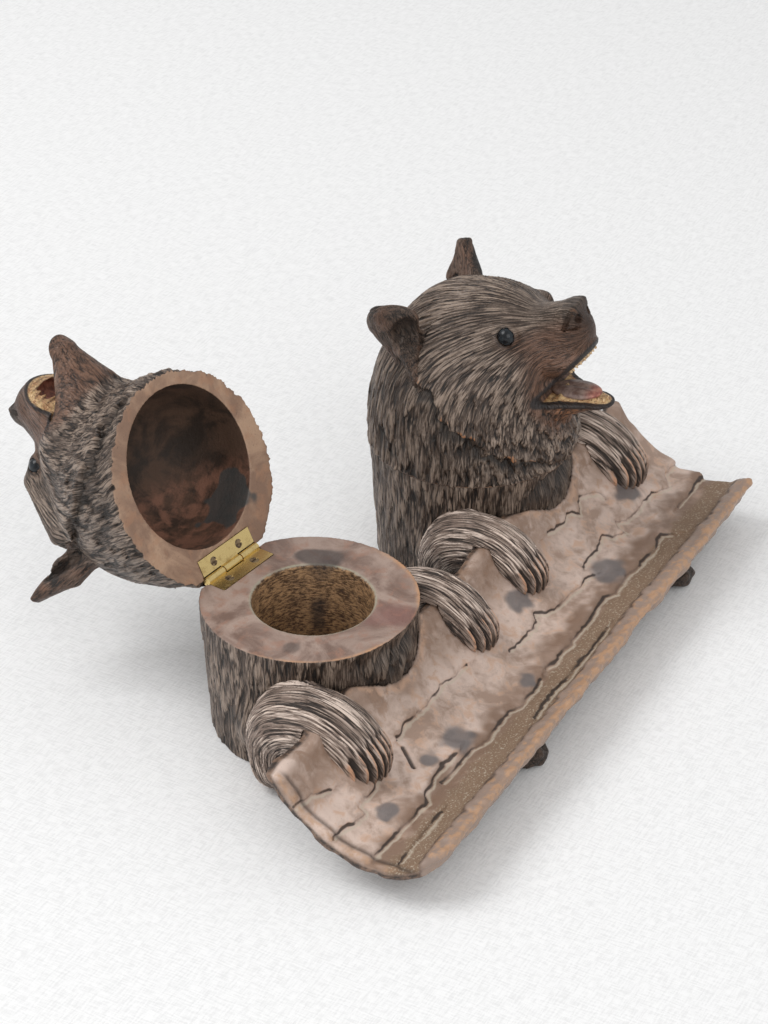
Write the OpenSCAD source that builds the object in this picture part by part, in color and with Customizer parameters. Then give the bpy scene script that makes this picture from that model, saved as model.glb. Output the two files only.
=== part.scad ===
// Carved wooden desk inkstand: two bear busts behind a bark-shaped pen tray.
// Each head is a hinged lid over a round inkwell. Millimetres, +Z up, the
// tray faces -Y, and the origin is the middle of the base.

/* [Bodies] */
// Distance between the two inkwell axes
well_spacing = 110.8; // [104:0.2:120]
// Height of the seat face where body and lid part
body_h = 45.5; // [43:0.5:52]
// Radius of a body at its seat face
body_top_r = 34.8; // [34:0.1:37]
// Radius of a body where it stands on the table
body_base_r = 31.8; // [30:0.1:34]
// How far a body's centre lies behind its inkwell
body_back = 1.2; // [0:0.1:2]
// Distance from the inkwell axis to the flat back
back_flat = 31.6; // [31:0.1:32]

/* [Inkwells] */
// Radius of an inkwell
well_r = 19; // [15:0.5:21]
// Depth of an inkwell below the seat face
well_depth = 40; // [25:0.5:42]

/* [Lids] */
// Gap between seat face and lid when shut
seam_gap = 0.3; // [0.3:0.05:0.6]
// How far the left lid stands open
open_angle = 117; // [60:0.5:120]
// How far the left bear is turned outwards
left_turn = 7.9; // [0:0.1:10]
// How far a lid's rim stands back from the edge of the seat face
rim_inset = 0.2; // [0:0.1:1.5]
// Radius of the hollow in a lid
cavity_r = 26; // [22:0.5:27]
// Height of the hollow's straight wall
cavity_wall = 7; // [4:0.5:9]

/* [Heads] */
// Height of a neck and skull above the seat face
neck_h = 60; // [54:0.5:64]
// Height of the point that a head tilts about, above the seat face
tilt_h = 34.5; // [32:0.5:37]
// Upward tilt of the right head
right_tilt = 25; // [18:0.5:30]
// Upward tilt of the left head
left_tilt = 34.5; // [25:0.5:40]
// Radius of the forehead
brow_r = 17; // [15:0.5:19]
// Distance from the tilting point to the front of the nose
muzzle_reach = 46.3; // [43:0.1:49]
// Radius of the front of the muzzle
muzzle_r = 9; // [8:0.5:10]
// Radius of the root of the muzzle
muzzle_root_r = 14; // [12:0.5:15]
// Radius of the nose
nose_r = 4.5; // [3.5:0.1:5.5]
// Radius of the fur collar under the chin
collar_r = 32; // [30:0.5:33]
// Height of the fur collar
collar_h = 14; // [10:0.5:18]
// How far the fur collar stands forward of the body's centre
collar_out = 9; // [6:0.5:10]

/* [Mouths] */
// Distance from the tilting point to the corner of the mouth
mouth_reach = 25; // [23:0.5:28]
// Depth of the corner of the mouth under the tilting point
mouth_drop = 17.2; // [16:0.2:19]
// Rise of the upper lip from the corner
upper_angle = 24.5; // [20:0.5:28]
// Fall of the lower jaw from the corner
lower_angle = 18.4; // [14:0.2:22]
// Radius of the tip of the lower jaw
jaw_r = 5.5; // [4.5:0.5:6.5]
// Distance from the tilting point to the tip of the jaw
jaw_reach = 41; // [38:0.5:43]
// Radius of the root of the lower jaw
jaw_root_r = 9; // [8:0.5:10]
// Half the width of the tongue
tongue_r = 4.6; // [3.5:0.1:5.5]
// Thickness of the tongue
tongue_t = 2.4; // [1.5:0.1:3]

/* [Ears and eyes] */
// Half the width of an ear
ear_r = 8; // [6.5:0.5:9]
// Height of an ear's tip above the tilting point
ear_tip = 30; // [26:0.5:32]
// Thickness of an ear
ear_t = 5; // [4:0.5:6]
// Distance from the middle of the head to an ear
ear_x = 21.5; // [20:0.5:23]
// Radius of an eye
eye_r = 3; // [2.5:0.1:3.5]
// Distance from the middle of the head to an eye
eye_x = 13.6; // [13:0.1:14.5]
// Clearance of an eye in its socket
eye_play = 0.05; // [0.03:0.01:0.1]

/* [Forelegs] */
// Distance from the inkwell axis to a foreleg
leg_x = 37.3; // [35:0.1:40]
// Radius of an inner foreleg
inner_leg_r = 8.6; // [7.5:0.1:9.5]
// Radius of an outer foreleg
outer_leg_r = 10; // [8.5:0.1:10.5]
// Height of the shoulder that a foreleg starts from
shoulder_h = 18; // [15:0.5:21]
// How far the shoulder lies in front of the inkwell axis
shoulder_reach = 3; // [0:0.5:5]
// Height of a foreleg's bend
leg_h = 33.5; // [31:0.5:35]
// Distance from the inkwell axis to the bend
bend_reach = 21.4; // [19:0.1:24]
// Distance from the inkwell axis to the front of a paw
paw_reach = 46; // [43:0.5:48]
// Height of the middle of a paw
paw_h = 24.5; // [23:0.5:27]

/* [Tray] */
// Distance from the middle between the bears to the tray's left end
left_reach = 126; // [115:1:135]
// Distance from the middle between the bears to the tray's right end
right_reach = 114; // [108:1:125]
// Distance from the inkwell axes to the front of the lip
lip_reach = 76.7; // [74:0.1:80]
// Radius of the hollow upper face
top_r = 40; // [38:0.5:44]
// Height of the bottom of the hollow
valley_h = 14; // [12:0.5:16]
// Distance from the inkwell axes to the bottom of the hollow
valley_reach = 63; // [60:0.5:65]
// Thickness of the curled sheet
tray_t = 5; // [4:0.2:6]
// Height of the back edge
back_edge_h = 34; // [30:0.5:36]
// Radius of the rounded front corner at the left end
corner_r = 16; // [8:1:22]

/* [Feet] */
// Distance between the feet's middle and the tray's middle
foot_shift = 11.4; // [0:0.2:14]
// Distance from the feet's middle to a foot
foot_x = 56; // [40:1:66]
// Radius of a foot
foot_r = 7; // [5:0.5:8]
// Distance from the inkwell axes to the front of a foot
foot_reach = 72.5; // [69:0.5:74]
// Length of a foot
foot_l = 18; // [15:0.5:22]

/* [Hinges] */
// Length of a hinge
hinge_l = 25; // [20:0.5:28]
// Width of a hinge leaf
leaf_w = 7; // [6:0.5:8]
// Thickness of a hinge leaf
leaf_t = 1; // [0.8:0.1:1.2]
// Radius of a knuckle
knuckle_r = 1.4; // [1.3:0.05:1.6]
// Radius of the hinge pin
pin_r = 0.7; // [0.5:0.05:0.8]
// Clearance round the pin
pin_play = 0.05; // [0.03:0.01:0.1]
// Gap between two knuckles
knuckle_gap = 0.3; // [0.3:0.05:0.5]
// Distance between the two screws of a leaf
screw_spacing = 12.4; // [10:0.2:14]
// Radius of a screw's head
screw_head_r = 1.5; // [1.3:0.1:1.8]
// Height of a screw's countersunk head
screw_head_h = 0.8; // [0.5:0.1:0.8]
// Radius of a screw's shank
screw_r = 0.8; // [0.6:0.1:1]
// Length of a screw
screw_l = 7; // [5:0.5:9]
// Width of the slot in a screw's head
slot_w = 0.5; // [0.3:0.1:0.6]

/* [Hidden] */
$fn = 96;
// A little more than a face, so that a cut passes through it
cut = 1;

// The bears stand right of the middle of the longer left end
side_shift = (left_reach - right_reach) / 2;
left_x = side_shift - well_spacing / 2;
right_x = side_shift + well_spacing / 2;
tray_length = left_reach + right_reach;
axis_h = valley_h + top_r;
under_r = top_r + tray_t;
lip_r = tray_t / 2;
lip_h = axis_h - sqrt(pow(top_r + lip_r, 2) - pow(lip_reach - lip_r - valley_reach, 2));
edge_reach = valley_reach - sqrt(pow(under_r, 2) - pow(axis_h - back_edge_h, 2));
// The hinge axis lies in the middle of the seam
hinge_y = back_flat + 0.6;
hinge_z = body_h + seam_gap / 2;
lid_z = body_h + seam_gap;
rim_r = body_top_r - rim_inset;
tilt_z = body_h + tilt_h;
brow_c = [0, -15, 6];
eye_c = brow_c + [0, -7, -0.1];
muzzle_root_c = [0, -20, -3];
muzzle_c = [0, 8.8 - muzzle_reach, -0.5];
nose_c = [0, nose_r - muzzle_reach, 4.5];
mouth_c = [0, -mouth_reach, -mouth_drop];
jaw_root_c = mouth_c + [0, 9, -3.8];
jaw_tip_c = [0, jaw_r - jaw_reach, -mouth_drop - 9.8];

// A point of a tilted head, in the upright frame of its bear
function tilted(p, a) = [
    p.x,
    p.y * cos(a) + p.z * sin(a),
    tilt_z - p.y * sin(a) + p.z * cos(a)
];

// How far back a point of a lid reaches once the lid is open
function opened_y(p) =
    hinge_y + (p.y - hinge_y) * cos(open_angle) + (p.z - hinge_z) * sin(open_angle);

// The open left nose is the part's furthest point behind, the lip in front
rear = opened_y(tilted(nose_c, left_tilt)) * cos(left_turn) + nose_r;
shift = (lip_reach - rear) / 2;

// Places the pieces of one bear, which are drawn round its inkwell
module at_left() {
    translate([left_x, shift, 0]) rotate([0, 0, -left_turn]) children();
}

module at_right() {
    translate([right_x, shift, 0]) children();
}

// Swings a lid's pieces open about the hinge axis
module swung(angle) {
    translate([0, hinge_y, hinge_z])
        rotate([-angle, 0, 0])
            translate([0, -hinge_y, -hinge_z]) children();
}

// Tilts the pieces of a head up
module at_tilt(angle) {
    translate([0, 0, tilt_z]) rotate([-angle, 0, 0]) children();
}

// A round bar from one point to another, with a ball at its far end
module limb(a, b, ra, rb, ball) {
    d = b - a;
    translate(a)
        rotate([0, acos(d.z / norm(d)), atan2(d.y, d.x)]) cylinder(h = norm(d), r1 = ra, r2 = rb);
    translate(b) sphere(r = ball);
}

module body_form() {
    translate([0, body_back, 0]) cylinder(h = body_h, r1 = body_base_r, r2 = body_top_r);
}

module hinge_rod(r, l) {
    translate([-l / 2, hinge_y, hinge_z]) rotate([0, 90, 0]) cylinder(h = l, r = r);
}

// Room for a leaf and the knuckles, up from a face or down from it
module hinge_seat(face, up) {
    translate([-hinge_l / 2, hinge_y - leaf_w, up ? face - cut : face - leaf_t])
        cube([hinge_l, leaf_w + 2 * knuckle_r + cut, leaf_t + cut]);
    hinge_rod(knuckle_r + seam_gap, hinge_l + 2 * seam_gap);
}

// Places the two screws of a leaf, with the head at a face
module at_screws(face, up) {
    for (s = [-1, 1])
        translate([s * screw_spacing / 2, hinge_y - leaf_w / 2 - knuckle_r / 2, face])
            rotate([up ? 180 : 0, 0, 0]) children();
}

module screw_form() {
    translate([0, 0, -screw_head_h]) cylinder(h = screw_head_h, r1 = screw_r, r2 = screw_head_r);
    translate([0, 0, -screw_l]) cylinder(h = screw_l - screw_head_h, r = screw_r);
}

module body(side) {
    color("#3f2a20")
        difference() {
            body_form();
            translate([-body_top_r, back_flat, -cut])
                cube([2 * body_top_r, body_top_r, body_h + 2 * cut]);
            translate([0, 0, body_h - well_depth]) cylinder(h = well_depth + cut, r = well_r);
            rotate([0, 0, side]) {
                hinge_seat(body_h, false);
                at_screws(body_h - leaf_t + screw_head_h, false) screw_form();
            }
        }
}

// Neck and skull, drawn as half an egg turned about the body's centre
module neck_form() {
    steps = 20;
    translate([0, body_back, body_h])
        rotate_extrude()
            polygon([
                [0, 0],
                for (i = [0:steps - 1]) [rim_r * cos(90 * i / steps), neck_h * sin(90 * i / steps)],
                [0, neck_h]
            ]);
}

module collar_form() {
    translate([0, body_back - collar_out, lid_z])
        cylinder(h = collar_h, r1 = collar_r, r2 = collar_r - collar_h / 2);
}

// Forehead, muzzle and nose of a level head
module face_form() {
    translate(brow_c) sphere(r = brow_r);
    limb(muzzle_root_c, muzzle_c, muzzle_root_r, muzzle_r - 0.3, muzzle_r);
    translate(nose_c) sphere(r = nose_r);
}

module head_form(tilt) {
    neck_form();
    collar_form();
    at_tilt(tilt) face_form();
}

// The open mouth: everything in front of its corner and under the upper lip
module mouth_gap() {
    translate(mouth_c)
        rotate([-upper_angle, 0, 0])
            translate([-muzzle_reach / 2, -muzzle_reach, -muzzle_reach])
                cube([muzzle_reach, muzzle_reach, muzzle_reach]);
}

module at_eyes() {
    for (s = [-1, 1])
        translate([s * eye_x, eye_c.y, eye_c.z]) rotate([0, s * 90, 0]) children();
}

module cavity() {
    translate([0, -2, lid_z - cut]) cylinder(h = cavity_wall + cut, r = cavity_r);
    translate([0, -2, lid_z + cavity_wall]) sphere(r = cavity_r);
}

module head_lid(tilt) {
    color("#46301f")
        difference() {
            head_form(tilt);
            translate([-2 * rim_r, -2 * rim_r, 0]) cube([4 * rim_r, 4 * rim_r, lid_z]);
            translate([-rim_r, back_flat, lid_z - cut]) cube([2 * rim_r, rim_r, cut + 3]);
            cavity();
            hinge_seat(lid_z, true);
            at_screws(lid_z + leaf_t - screw_head_h, true) screw_form();
            at_tilt(tilt) {
                at_eyes() translate([0, 0, -eye_r - eye_play])
                    cylinder(h = 4 * eye_r, r = eye_r + eye_play);
                mouth_gap();
            }
        }
}

module lower_jaw(tilt) {
    color("#5a3122")
        difference() {
            at_tilt(tilt)
                difference() {
                    limb(jaw_root_c, jaw_tip_c, jaw_root_r, jaw_r - 0.2, jaw_r);
                    translate(mouth_c)
                        rotate([lower_angle, 0, 0])
                            translate([-jaw_reach / 2, -jaw_reach, 0])
                                cube([jaw_reach, 2 * jaw_reach, jaw_reach]);
                }
            head_form(tilt);
        }
}

module tongue(tilt) {
    color("#8a3a32")
        at_tilt(tilt)
            translate(mouth_c)
                rotate([lower_angle, 0, 0])
                    linear_extrude(tongue_t)
                        union() {
                            translate([0, -11]) circle(r = tongue_r);
                            translate([-tongue_r, -11]) square([2 * tongue_r, 6]);
                        }
}

// One ear: two arcs that meet in a tip, hollowed in front, with its foot in the head
module ear(s) {
    arc_r = 1.6 * ear_r;
    half_h = sqrt(arc_r * arc_r - pow(arc_r - ear_r, 2));
    translate([s * ear_x, 3, ear_tip - half_h])
        rotate([90, s * 14, s * 24])
            difference() {
                linear_extrude(ear_t, center = true)
                    intersection() {
                        translate([ear_r - arc_r, 0]) circle(r = arc_r);
                        translate([arc_r - ear_r, 0]) circle(r = arc_r);
                    }
                translate([0, 2, ear_r]) sphere(r = ear_r - 0.6);
            }
}

module ears(tilt) {
    color("#553222")
        difference() {
            at_tilt(tilt)
                for (s = [-1, 1]) ear(s);
            neck_form();
            at_tilt(tilt) translate(brow_c) sphere(r = brow_r);
        }
}

module eyes(tilt) {
    color("#15181f") at_tilt(tilt) at_eyes() sphere(r = eye_r);
}

// Knuckles of one leaf: the body's leaf has the outer two, the lid's the middle
module knuckles(outer) {
    third = hinge_l / 3;
    l = third - knuckle_gap;
    if (outer) {
        for (s = [-1, 1])
            translate([s * (third + knuckle_gap / 2), hinge_y, hinge_z])
                rotate([0, 90, 0]) cylinder(h = l, r = knuckle_r, center = true);
    } else {
        hinge_rod(knuckle_r, l);
    }
}

// Room for the other leaf's knuckles, with a gap all round
module knuckle_room(outer) {
    third = hinge_l / 3;
    reach = knuckle_r + knuckle_gap;
    if (outer) {
        for (s = [-1, 1])
            translate([s * third * 1.5, hinge_y, hinge_z])
                rotate([0, 90, 0]) cylinder(h = 2 * third, r = reach, center = true);
    } else {
        hinge_rod(reach, third);
    }
}

module leaf(face, up, outer) {
    plate_w = leaf_w - pin_r - 4 * pin_play;
    color("#b8923c")
        difference() {
            union() {
                difference() {
                    translate([-hinge_l / 2, hinge_y - leaf_w, up ? face : face - leaf_t])
                        cube([hinge_l, plate_w, leaf_t]);
                    knuckle_room(!outer);
                }
                knuckles(outer);
            }
            hinge_rod(pin_r + pin_play, hinge_l + cut);
            at_screws(face, up) screw_form();
        }
}

module hinge_pin() {
    color("#c9a44c") hinge_rod(pin_r, hinge_l);
}

module screws(face, up) {
    color("#4c4334")
        difference() {
            at_screws(face, up) screw_form();
            at_screws(face, up)
                translate([0, 0, -0.3]) translate([-screw_head_r, -slot_w / 2, 0])
                    cube([2 * screw_head_r, slot_w, cut]);
        }
}

module tray_rod(r, l, y, z) {
    translate([-l / 2, -y, z]) rotate([0, 90, 0]) cylinder(h = l, r = r);
}

// Everything under the tray's hollow upper face, down to the table
module tray_room() {
    difference() {
        translate([-tray_length / 2, lip_r - lip_reach, 0])
            cube([tray_length, lip_reach - lip_r - edge_reach, back_edge_h]);
        tray_rod(top_r, tray_length + 2 * cut, valley_reach, axis_h);
    }
}

// The curled sheet before the bodies are let into it
module tray_solid() {
    difference() {
        union() {
            intersection() {
                tray_room();
                tray_rod(under_r, tray_length + 2 * cut, valley_reach, axis_h);
            }
            tray_rod(lip_r, tray_length, lip_reach - lip_r, lip_h);
        }
        translate([-tray_length / 2 - cut, -lip_reach - cut, -cut])
            difference() {
                cube([corner_r + cut, corner_r + cut, back_edge_h + 2 * cut]);
                translate([corner_r + cut, corner_r + cut, -cut])
                    cylinder(h = back_edge_h + 4 * cut, r = corner_r);
            }
    }
}

module tray() {
    color("#5b3a2e")
        difference() {
            translate([0, shift, 0]) tray_solid();
            at_left() body_form();
            at_right() body_form();
        }
}

// A foot under the front of the tray, standing on the table
module foot(side) {
    color("#4a2f22")
        translate([side_shift + foot_shift + side * foot_x, shift, 0])
            difference() {
                limb(
                    [0, foot_l - foot_r - foot_reach, foot_r - 1],
                    [0, foot_r - foot_reach, foot_r - 1],
                    foot_r * 0.8, foot_r - 0.3, foot_r
                );
                translate([-2 * foot_r, -lip_reach, -4 * foot_r])
                    cube([4 * foot_r, lip_reach, 4 * foot_r]);
                tray_rod(under_r, 4 * foot_r, valley_reach, axis_h);
            }
}

// A foreleg climbs the body's side, bends over the tray's back edge and lies
// down the slope
module foreleg(bear_x, side, r) {
    shoulder = [side * (leg_x - 2), -shoulder_reach, shoulder_h];
    bend = [side * leg_x, -bend_reach, leg_h];
    paw = [side * leg_x, r - 1 - paw_reach, paw_h];
    color("#41291f")
        difference() {
            translate([bear_x, shift, 0]) {
                translate(shoulder) sphere(r = r);
                limb(shoulder, bend, r - 0.5, r - 0.3, r);
                limb(bend, paw, r - 0.3, r - 1.3, r - 1);
            }
            translate([0, shift, 0]) tray_room();
            at_left() body_form();
            at_right() body_form();
        }
}

tray();
foot(-1);  // left_foot
foot(1);  // right_foot
at_left() body(0);  // left_body
at_right() body(0);  // right_body
foreleg(left_x, -1, outer_leg_r);  // left_outer_foreleg
foreleg(left_x, 1, inner_leg_r);  // left_inner_foreleg
foreleg(right_x, -1, inner_leg_r);  // right_inner_foreleg
foreleg(right_x, 1, outer_leg_r);  // right_outer_foreleg
at_left() swung(open_angle) head_lid(left_tilt);  // left_head_lid
at_right() head_lid(right_tilt);  // right_head_lid
at_left() swung(open_angle) lower_jaw(left_tilt);  // left_lower_jaw
at_right() lower_jaw(right_tilt);  // right_lower_jaw
at_left() swung(open_angle) tongue(left_tilt);  // left_tongue
at_right() tongue(right_tilt);  // right_tongue
at_left() swung(open_angle) ears(left_tilt);  // left_ears
at_right() ears(right_tilt);  // right_ears
at_left() swung(open_angle) eyes(left_tilt);  // left_eyes
at_right() eyes(right_tilt);  // right_eyes
at_left() leaf(body_h, false, true);  // left_body_leaf
at_right() leaf(body_h, false, true);  // right_body_leaf
at_left() swung(open_angle) leaf(lid_z, true, false);  // left_lid_leaf
at_right() leaf(lid_z, true, false);  // right_lid_leaf
at_left() hinge_pin();  // left_hinge_pin
at_right() hinge_pin();  // right_hinge_pin
at_left() screws(body_h, false);  // left_body_screws
at_right() screws(body_h, false);  // right_body_screws
at_left() swung(open_angle) screws(lid_z, true);  // left_lid_screws
at_right() screws(lid_z, true);  // right_lid_screws
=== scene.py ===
"""Looks of the carved bear inkstand: furry busts with hinged heads behind a bark tray.

The wood is carved as distance fields in mm, each in the frame of its own bear or of
the tray, and comes out as closed meshes that carry their grooves, grain, stains,
painted shade and painted highlights.
"""

from __future__ import annotations

import logging
import math
from dataclasses import dataclass, field
from enum import Enum
from typing import Any, Callable, Sequence

import bpy
import numpy as np
import openvdb as vdb
from mathutils import Matrix, Vector

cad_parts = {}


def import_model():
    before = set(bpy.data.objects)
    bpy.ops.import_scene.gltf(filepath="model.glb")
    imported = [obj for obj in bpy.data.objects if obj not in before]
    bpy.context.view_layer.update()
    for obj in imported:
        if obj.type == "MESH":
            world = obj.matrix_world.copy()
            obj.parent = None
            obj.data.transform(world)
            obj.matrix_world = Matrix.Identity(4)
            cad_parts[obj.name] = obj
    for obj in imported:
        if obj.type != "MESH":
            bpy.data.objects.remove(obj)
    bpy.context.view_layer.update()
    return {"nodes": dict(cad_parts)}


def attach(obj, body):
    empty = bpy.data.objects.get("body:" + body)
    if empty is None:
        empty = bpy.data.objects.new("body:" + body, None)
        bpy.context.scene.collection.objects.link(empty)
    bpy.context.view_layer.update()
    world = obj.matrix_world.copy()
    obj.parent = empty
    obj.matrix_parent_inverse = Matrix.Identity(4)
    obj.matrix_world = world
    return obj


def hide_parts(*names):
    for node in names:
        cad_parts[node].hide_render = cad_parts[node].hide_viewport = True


LOG = logging.getLogger("inkstand")
Array = np.ndarray
Point = tuple[float, float, float]
Colour = tuple[float, float, float]

MM = 0.001
SIDE_SHIFT = 6.0
BACK_SHIFT = -21.5013
SEAT_H = 45.5
LID_H = 45.8
HINGE_Y = 32.2
HINGE_Z = 45.65
OPEN_ANGLE = 117.0
WELL_SPACING = 110.8


class Side(Enum):
    """Which bear a piece belongs to."""

    LEFT = "left"
    RIGHT = "right"


# Carving tools


def ball(x: Array, y: Array, z: Array, c: Point, r: float) -> Array:
    """Distance to a ball."""
    return np.sqrt((x - c[0]) ** 2 + (y - c[1]) ** 2 + (z - c[2]) ** 2) - r


def egg(x: Array, y: Array, z: Array, c: Point, r: Point, pitch: float = 0.0) -> Array:
    """Distance to an egg shape.

    Args:
        x, y, z: where to measure.
        c: middle of the egg.
        r: its three half sizes.
        pitch: nose-down turn about X in degrees.

    Returns:
        Rough distance, exact at the surface.
    """
    t = math.radians(pitch)
    px, py, pz = x - c[0], y - c[1], z - c[2]
    qy = py * math.cos(t) + pz * math.sin(t)
    qz = -py * math.sin(t) + pz * math.cos(t)
    k0 = np.sqrt((px / r[0]) ** 2 + (qy / r[1]) ** 2 + (qz / r[2]) ** 2)
    k1 = np.sqrt((px / r[0] ** 2) ** 2 + (qy / r[1] ** 2) ** 2 + (qz / r[2] ** 2) ** 2)
    return k0 * (k0 - 1.0) / np.maximum(k1, 1e-6)


def limb(x: Array, y: Array, z: Array, a: Point, b: Point, ra: float, rb: float) -> Array:
    """Distance to a round bar from a to b that tapers from ra to rb."""
    d = np.subtract(b, a)
    t = (x - a[0]) * d[0] + (y - a[1]) * d[1] + (z - a[2]) * d[2]
    t = np.clip(t / float(d @ d), 0.0, 1.0)
    gap = (x - a[0] - t * d[0]) ** 2 + (y - a[1] - t * d[1]) ** 2 + (z - a[2] - t * d[2]) ** 2
    return np.sqrt(gap) - (ra + (rb - ra) * t)


def blend(a: Array, b: Array, k: float) -> Array:
    """Joins two forms with a fillet about k wide."""
    h = np.clip(0.5 + 0.5 * (b - a) / k, 0.0, 1.0)
    return b + (a - b) * h - k * h * (1.0 - h)


def carve(a: Array, b: Array, k: float = 0.01) -> Array:
    """Cuts form b out of form a, with its edge eased by k."""
    return -blend(-a, b, k)


def ease(low: float, high: float, v: Array) -> Array:
    """Smooth step from 0 at low to 1 at high."""
    t = np.clip((v - low) / (high - low), 0.0, 1.0)
    return t * t * (3.0 - 2.0 * t)


def bump(v: Array, at: float, width: float) -> Array:
    """Soft hill of height 1."""
    return np.exp(-(((v - at) / width) ** 2))


def scatter(i: Array, j: Array, seed: int) -> Array:
    """Repeatable random number from 0 to 1 for each cell i, j."""
    n = i.astype(np.int64) * 374761393 + j.astype(np.int64) * 668265263 + seed * 362437
    n = ((n ^ (n >> 13)) * 1274126177) & 0xFFFFFFFF
    return ((n ^ (n >> 16)) & 0xFFFF).astype(np.float32) / 65535.0


Line = Sequence[tuple[float, float]]


def reach_of(line: Line, x: Array, a: Array) -> tuple[Array, Array]:
    """Distance to a drawn line and on which side of it a place lies.

    Args:
        line: points along the tray and round its face, in mm.
        x, a: places along the tray and round its face.

    Returns:
        Distance in mm, and 1 above the line or -1 below it.
    """
    best = np.full(x.shape, 1e3, np.float32)
    side = np.zeros(x.shape, np.float32)
    for (x0, a0), (x1, a1) in zip(line, line[1:]):
        dx, da = x1 - x0, a1 - a0
        t = np.clip(((x - x0) * dx + (a - a0) * da) / (dx * dx + da * da), 0, 1)
        gx, ga = x - x0 - t * dx, a - a0 - t * da
        d = np.sqrt(gx * gx + ga * ga)
        near = d < best
        best = np.where(near, d, best)
        side = np.where(near, np.sign((dx * ga - da * gx) * (1 if dx > 0 else -1)), side)
    return best, side


class Grainfield:
    """Seeded smooth noise in space, from -1 to 1."""

    def __init__(self, seed: int) -> None:
        """Fills the table that the noise is read from."""
        self.table = np.random.default_rng(seed).uniform(-1, 1, (32, 32, 32)).astype(np.float32)

    def read(self, x: Array, y: Array, z: Array, size: float) -> Array:
        """Reads the noise.

        Args:
            x, y, z: flat arrays of places.
            size: mm from one hill to the next.

        Returns:
            One value for each place.
        """
        out = np.zeros(np.broadcast(x, y, z).shape, np.float32)
        cells, parts = [], []
        for v in (x, y, z):
            w = v / size
            c = np.floor(w)
            f = (w - c).astype(np.float32)
            cells.append(c.astype(np.int64))
            parts.append(f * f * (3 - 2 * f))
        for n in range(8):
            bits = (n & 1, n >> 1 & 1, n >> 2 & 1)
            ijk = [(c + b) & 31 for c, b in zip(cells, bits)]
            w = 1.0
            for f, b in zip(parts, bits):
                w = w * (f if b else 1 - f)
            out += w * self.table[ijk[0], ijk[1], ijk[2]]
        return out


GRAIN = Grainfield(7)


@dataclass(frozen=True)
class Tufts:
    """Overlapping pointed tufts of carved fur, each with gouge lines that meet at its tip."""

    round: int
    length: float
    seed: int
    strands: float = 1.5
    depth: float = 0.22
    layers: int = 2

    def read(self, turn: Array, along: Array) -> tuple[Array, Array]:
        """Height of the fur.

        Args:
            turn: place round the form, 0 to 1.
            along: distance along the flow in mm.

        Returns:
            Height from 0 to 1, and a random tone for each tuft.
        """
        best = np.zeros(turn.shape, np.float32)
        tone = np.zeros(turn.shape, np.float32)
        for layer in range(self.layers):
            u = turn * self.round + layer / self.layers
            col = np.floor(u)
            ring = np.mod(col, self.round)
            f = u - col - 0.5
            w = along / self.length + scatter(ring, ring * 0 + layer, self.seed)
            w = w + layer / self.layers
            row = np.floor(w)
            t = w - row
            a = scatter(ring, row, self.seed + 1 + layer)
            b = scatter(ring, row, self.seed + 11 + layer)
            mid = (a - 0.5) * 0.35 + (b - 0.5) * 0.55 * t
            half = (0.62 + 0.2 * b) * (1.0 - t**2.6) + 0.02
            s = (f - mid) / half
            cross = np.clip(1.0 - s * s, 0.0, 1.0)
            lines = 0.5 + 0.5 * np.cos(2 * math.pi * self.strands * s)
            h = cross**0.55 * (0.3 + 0.7 * ease(0.0, 0.7, t)) - self.depth * (1 - lines) * cross
            win = h > best
            best = np.where(win, h, best)
            tone = np.where(win, a, tone)
        return best, tone


@dataclass(frozen=True)
class Block:
    """The block that a piece is carved from."""

    low: Point
    high: Point
    cell: float

    def step(self) -> float:
        return self.cell * 1.0

    def axes(self) -> list[Array]:
        """The cells' places, as three arrays that broadcast."""
        s = self.step()
        lines = [np.arange(a, b + s, s, dtype=np.float32) for a, b in zip(self.low, self.high)]
        return list(np.meshgrid(*lines, indexing="ij", sparse=True))


Field = Callable[[Array, Array, Array], Array]


@dataclass
class Carving:
    """A form, the relief cut into its skin, and the cuts made after it."""

    block: Block
    form: Field
    relief: Field | None = None
    cuts: Callable[[Array, Array, Array, Array], Array] | None = None
    reach: float = 1.6

    def mesh(self) -> tuple[Array, Array]:
        """Carves the block.

        Returns:
            Points in mm and the quads between them.
        """
        x, y, z = self.block.axes()
        d = self.form(x, y, z).astype(np.float32)
        skin = d.copy()
        if self.relief is not None:
            near = np.abs(d) < self.reach + 2 * self.block.step()
            px, py, pz = (np.broadcast_to(v, d.shape)[near] for v in (x, y, z))
            d[near] -= self.relief(px, py, pz)
        if self.cuts is not None:
            d = np.maximum(d, self.cuts(x, y, z, skin).astype(np.float32))
        grid = vdb.FloatGrid(3.0)
        grid.copyFromArray(np.clip(d, -3.0, 3.0))
        points, quads = grid.convertToQuads(0.0)
        return points * self.block.step() + np.array(self.block.low), quads


def as_object(name: str, points: Array, quads: Array, marks: dict[str, Array]) -> bpy.types.Object:
    """Makes a mesh object from carved points.

    Args:
        name: the piece's name.
        points: places in mm in the object's frame.
        quads: corner numbers of each face.
        marks: values and vectors to keep on the points.

    Returns:
        The new object, linked to the scene.
    """
    mesh = bpy.data.meshes.new(name)
    mesh.from_pydata((points * MM).tolist(), [], quads.tolist())
    mesh.update()
    mesh.polygons.foreach_set("use_smooth", np.ones(len(mesh.polygons), bool))
    for key, value in marks.items():
        kind = "FLOAT_VECTOR" if value.ndim == 2 else "FLOAT"
        mark = mesh.attributes.new(key, kind, "POINT")
        mark.data.foreach_set("vector" if value.ndim == 2 else "value", value.astype(np.float32).ravel())
    piece = bpy.data.objects.new(name, mesh)
    bpy.context.scene.collection.objects.link(piece)
    return piece


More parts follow.
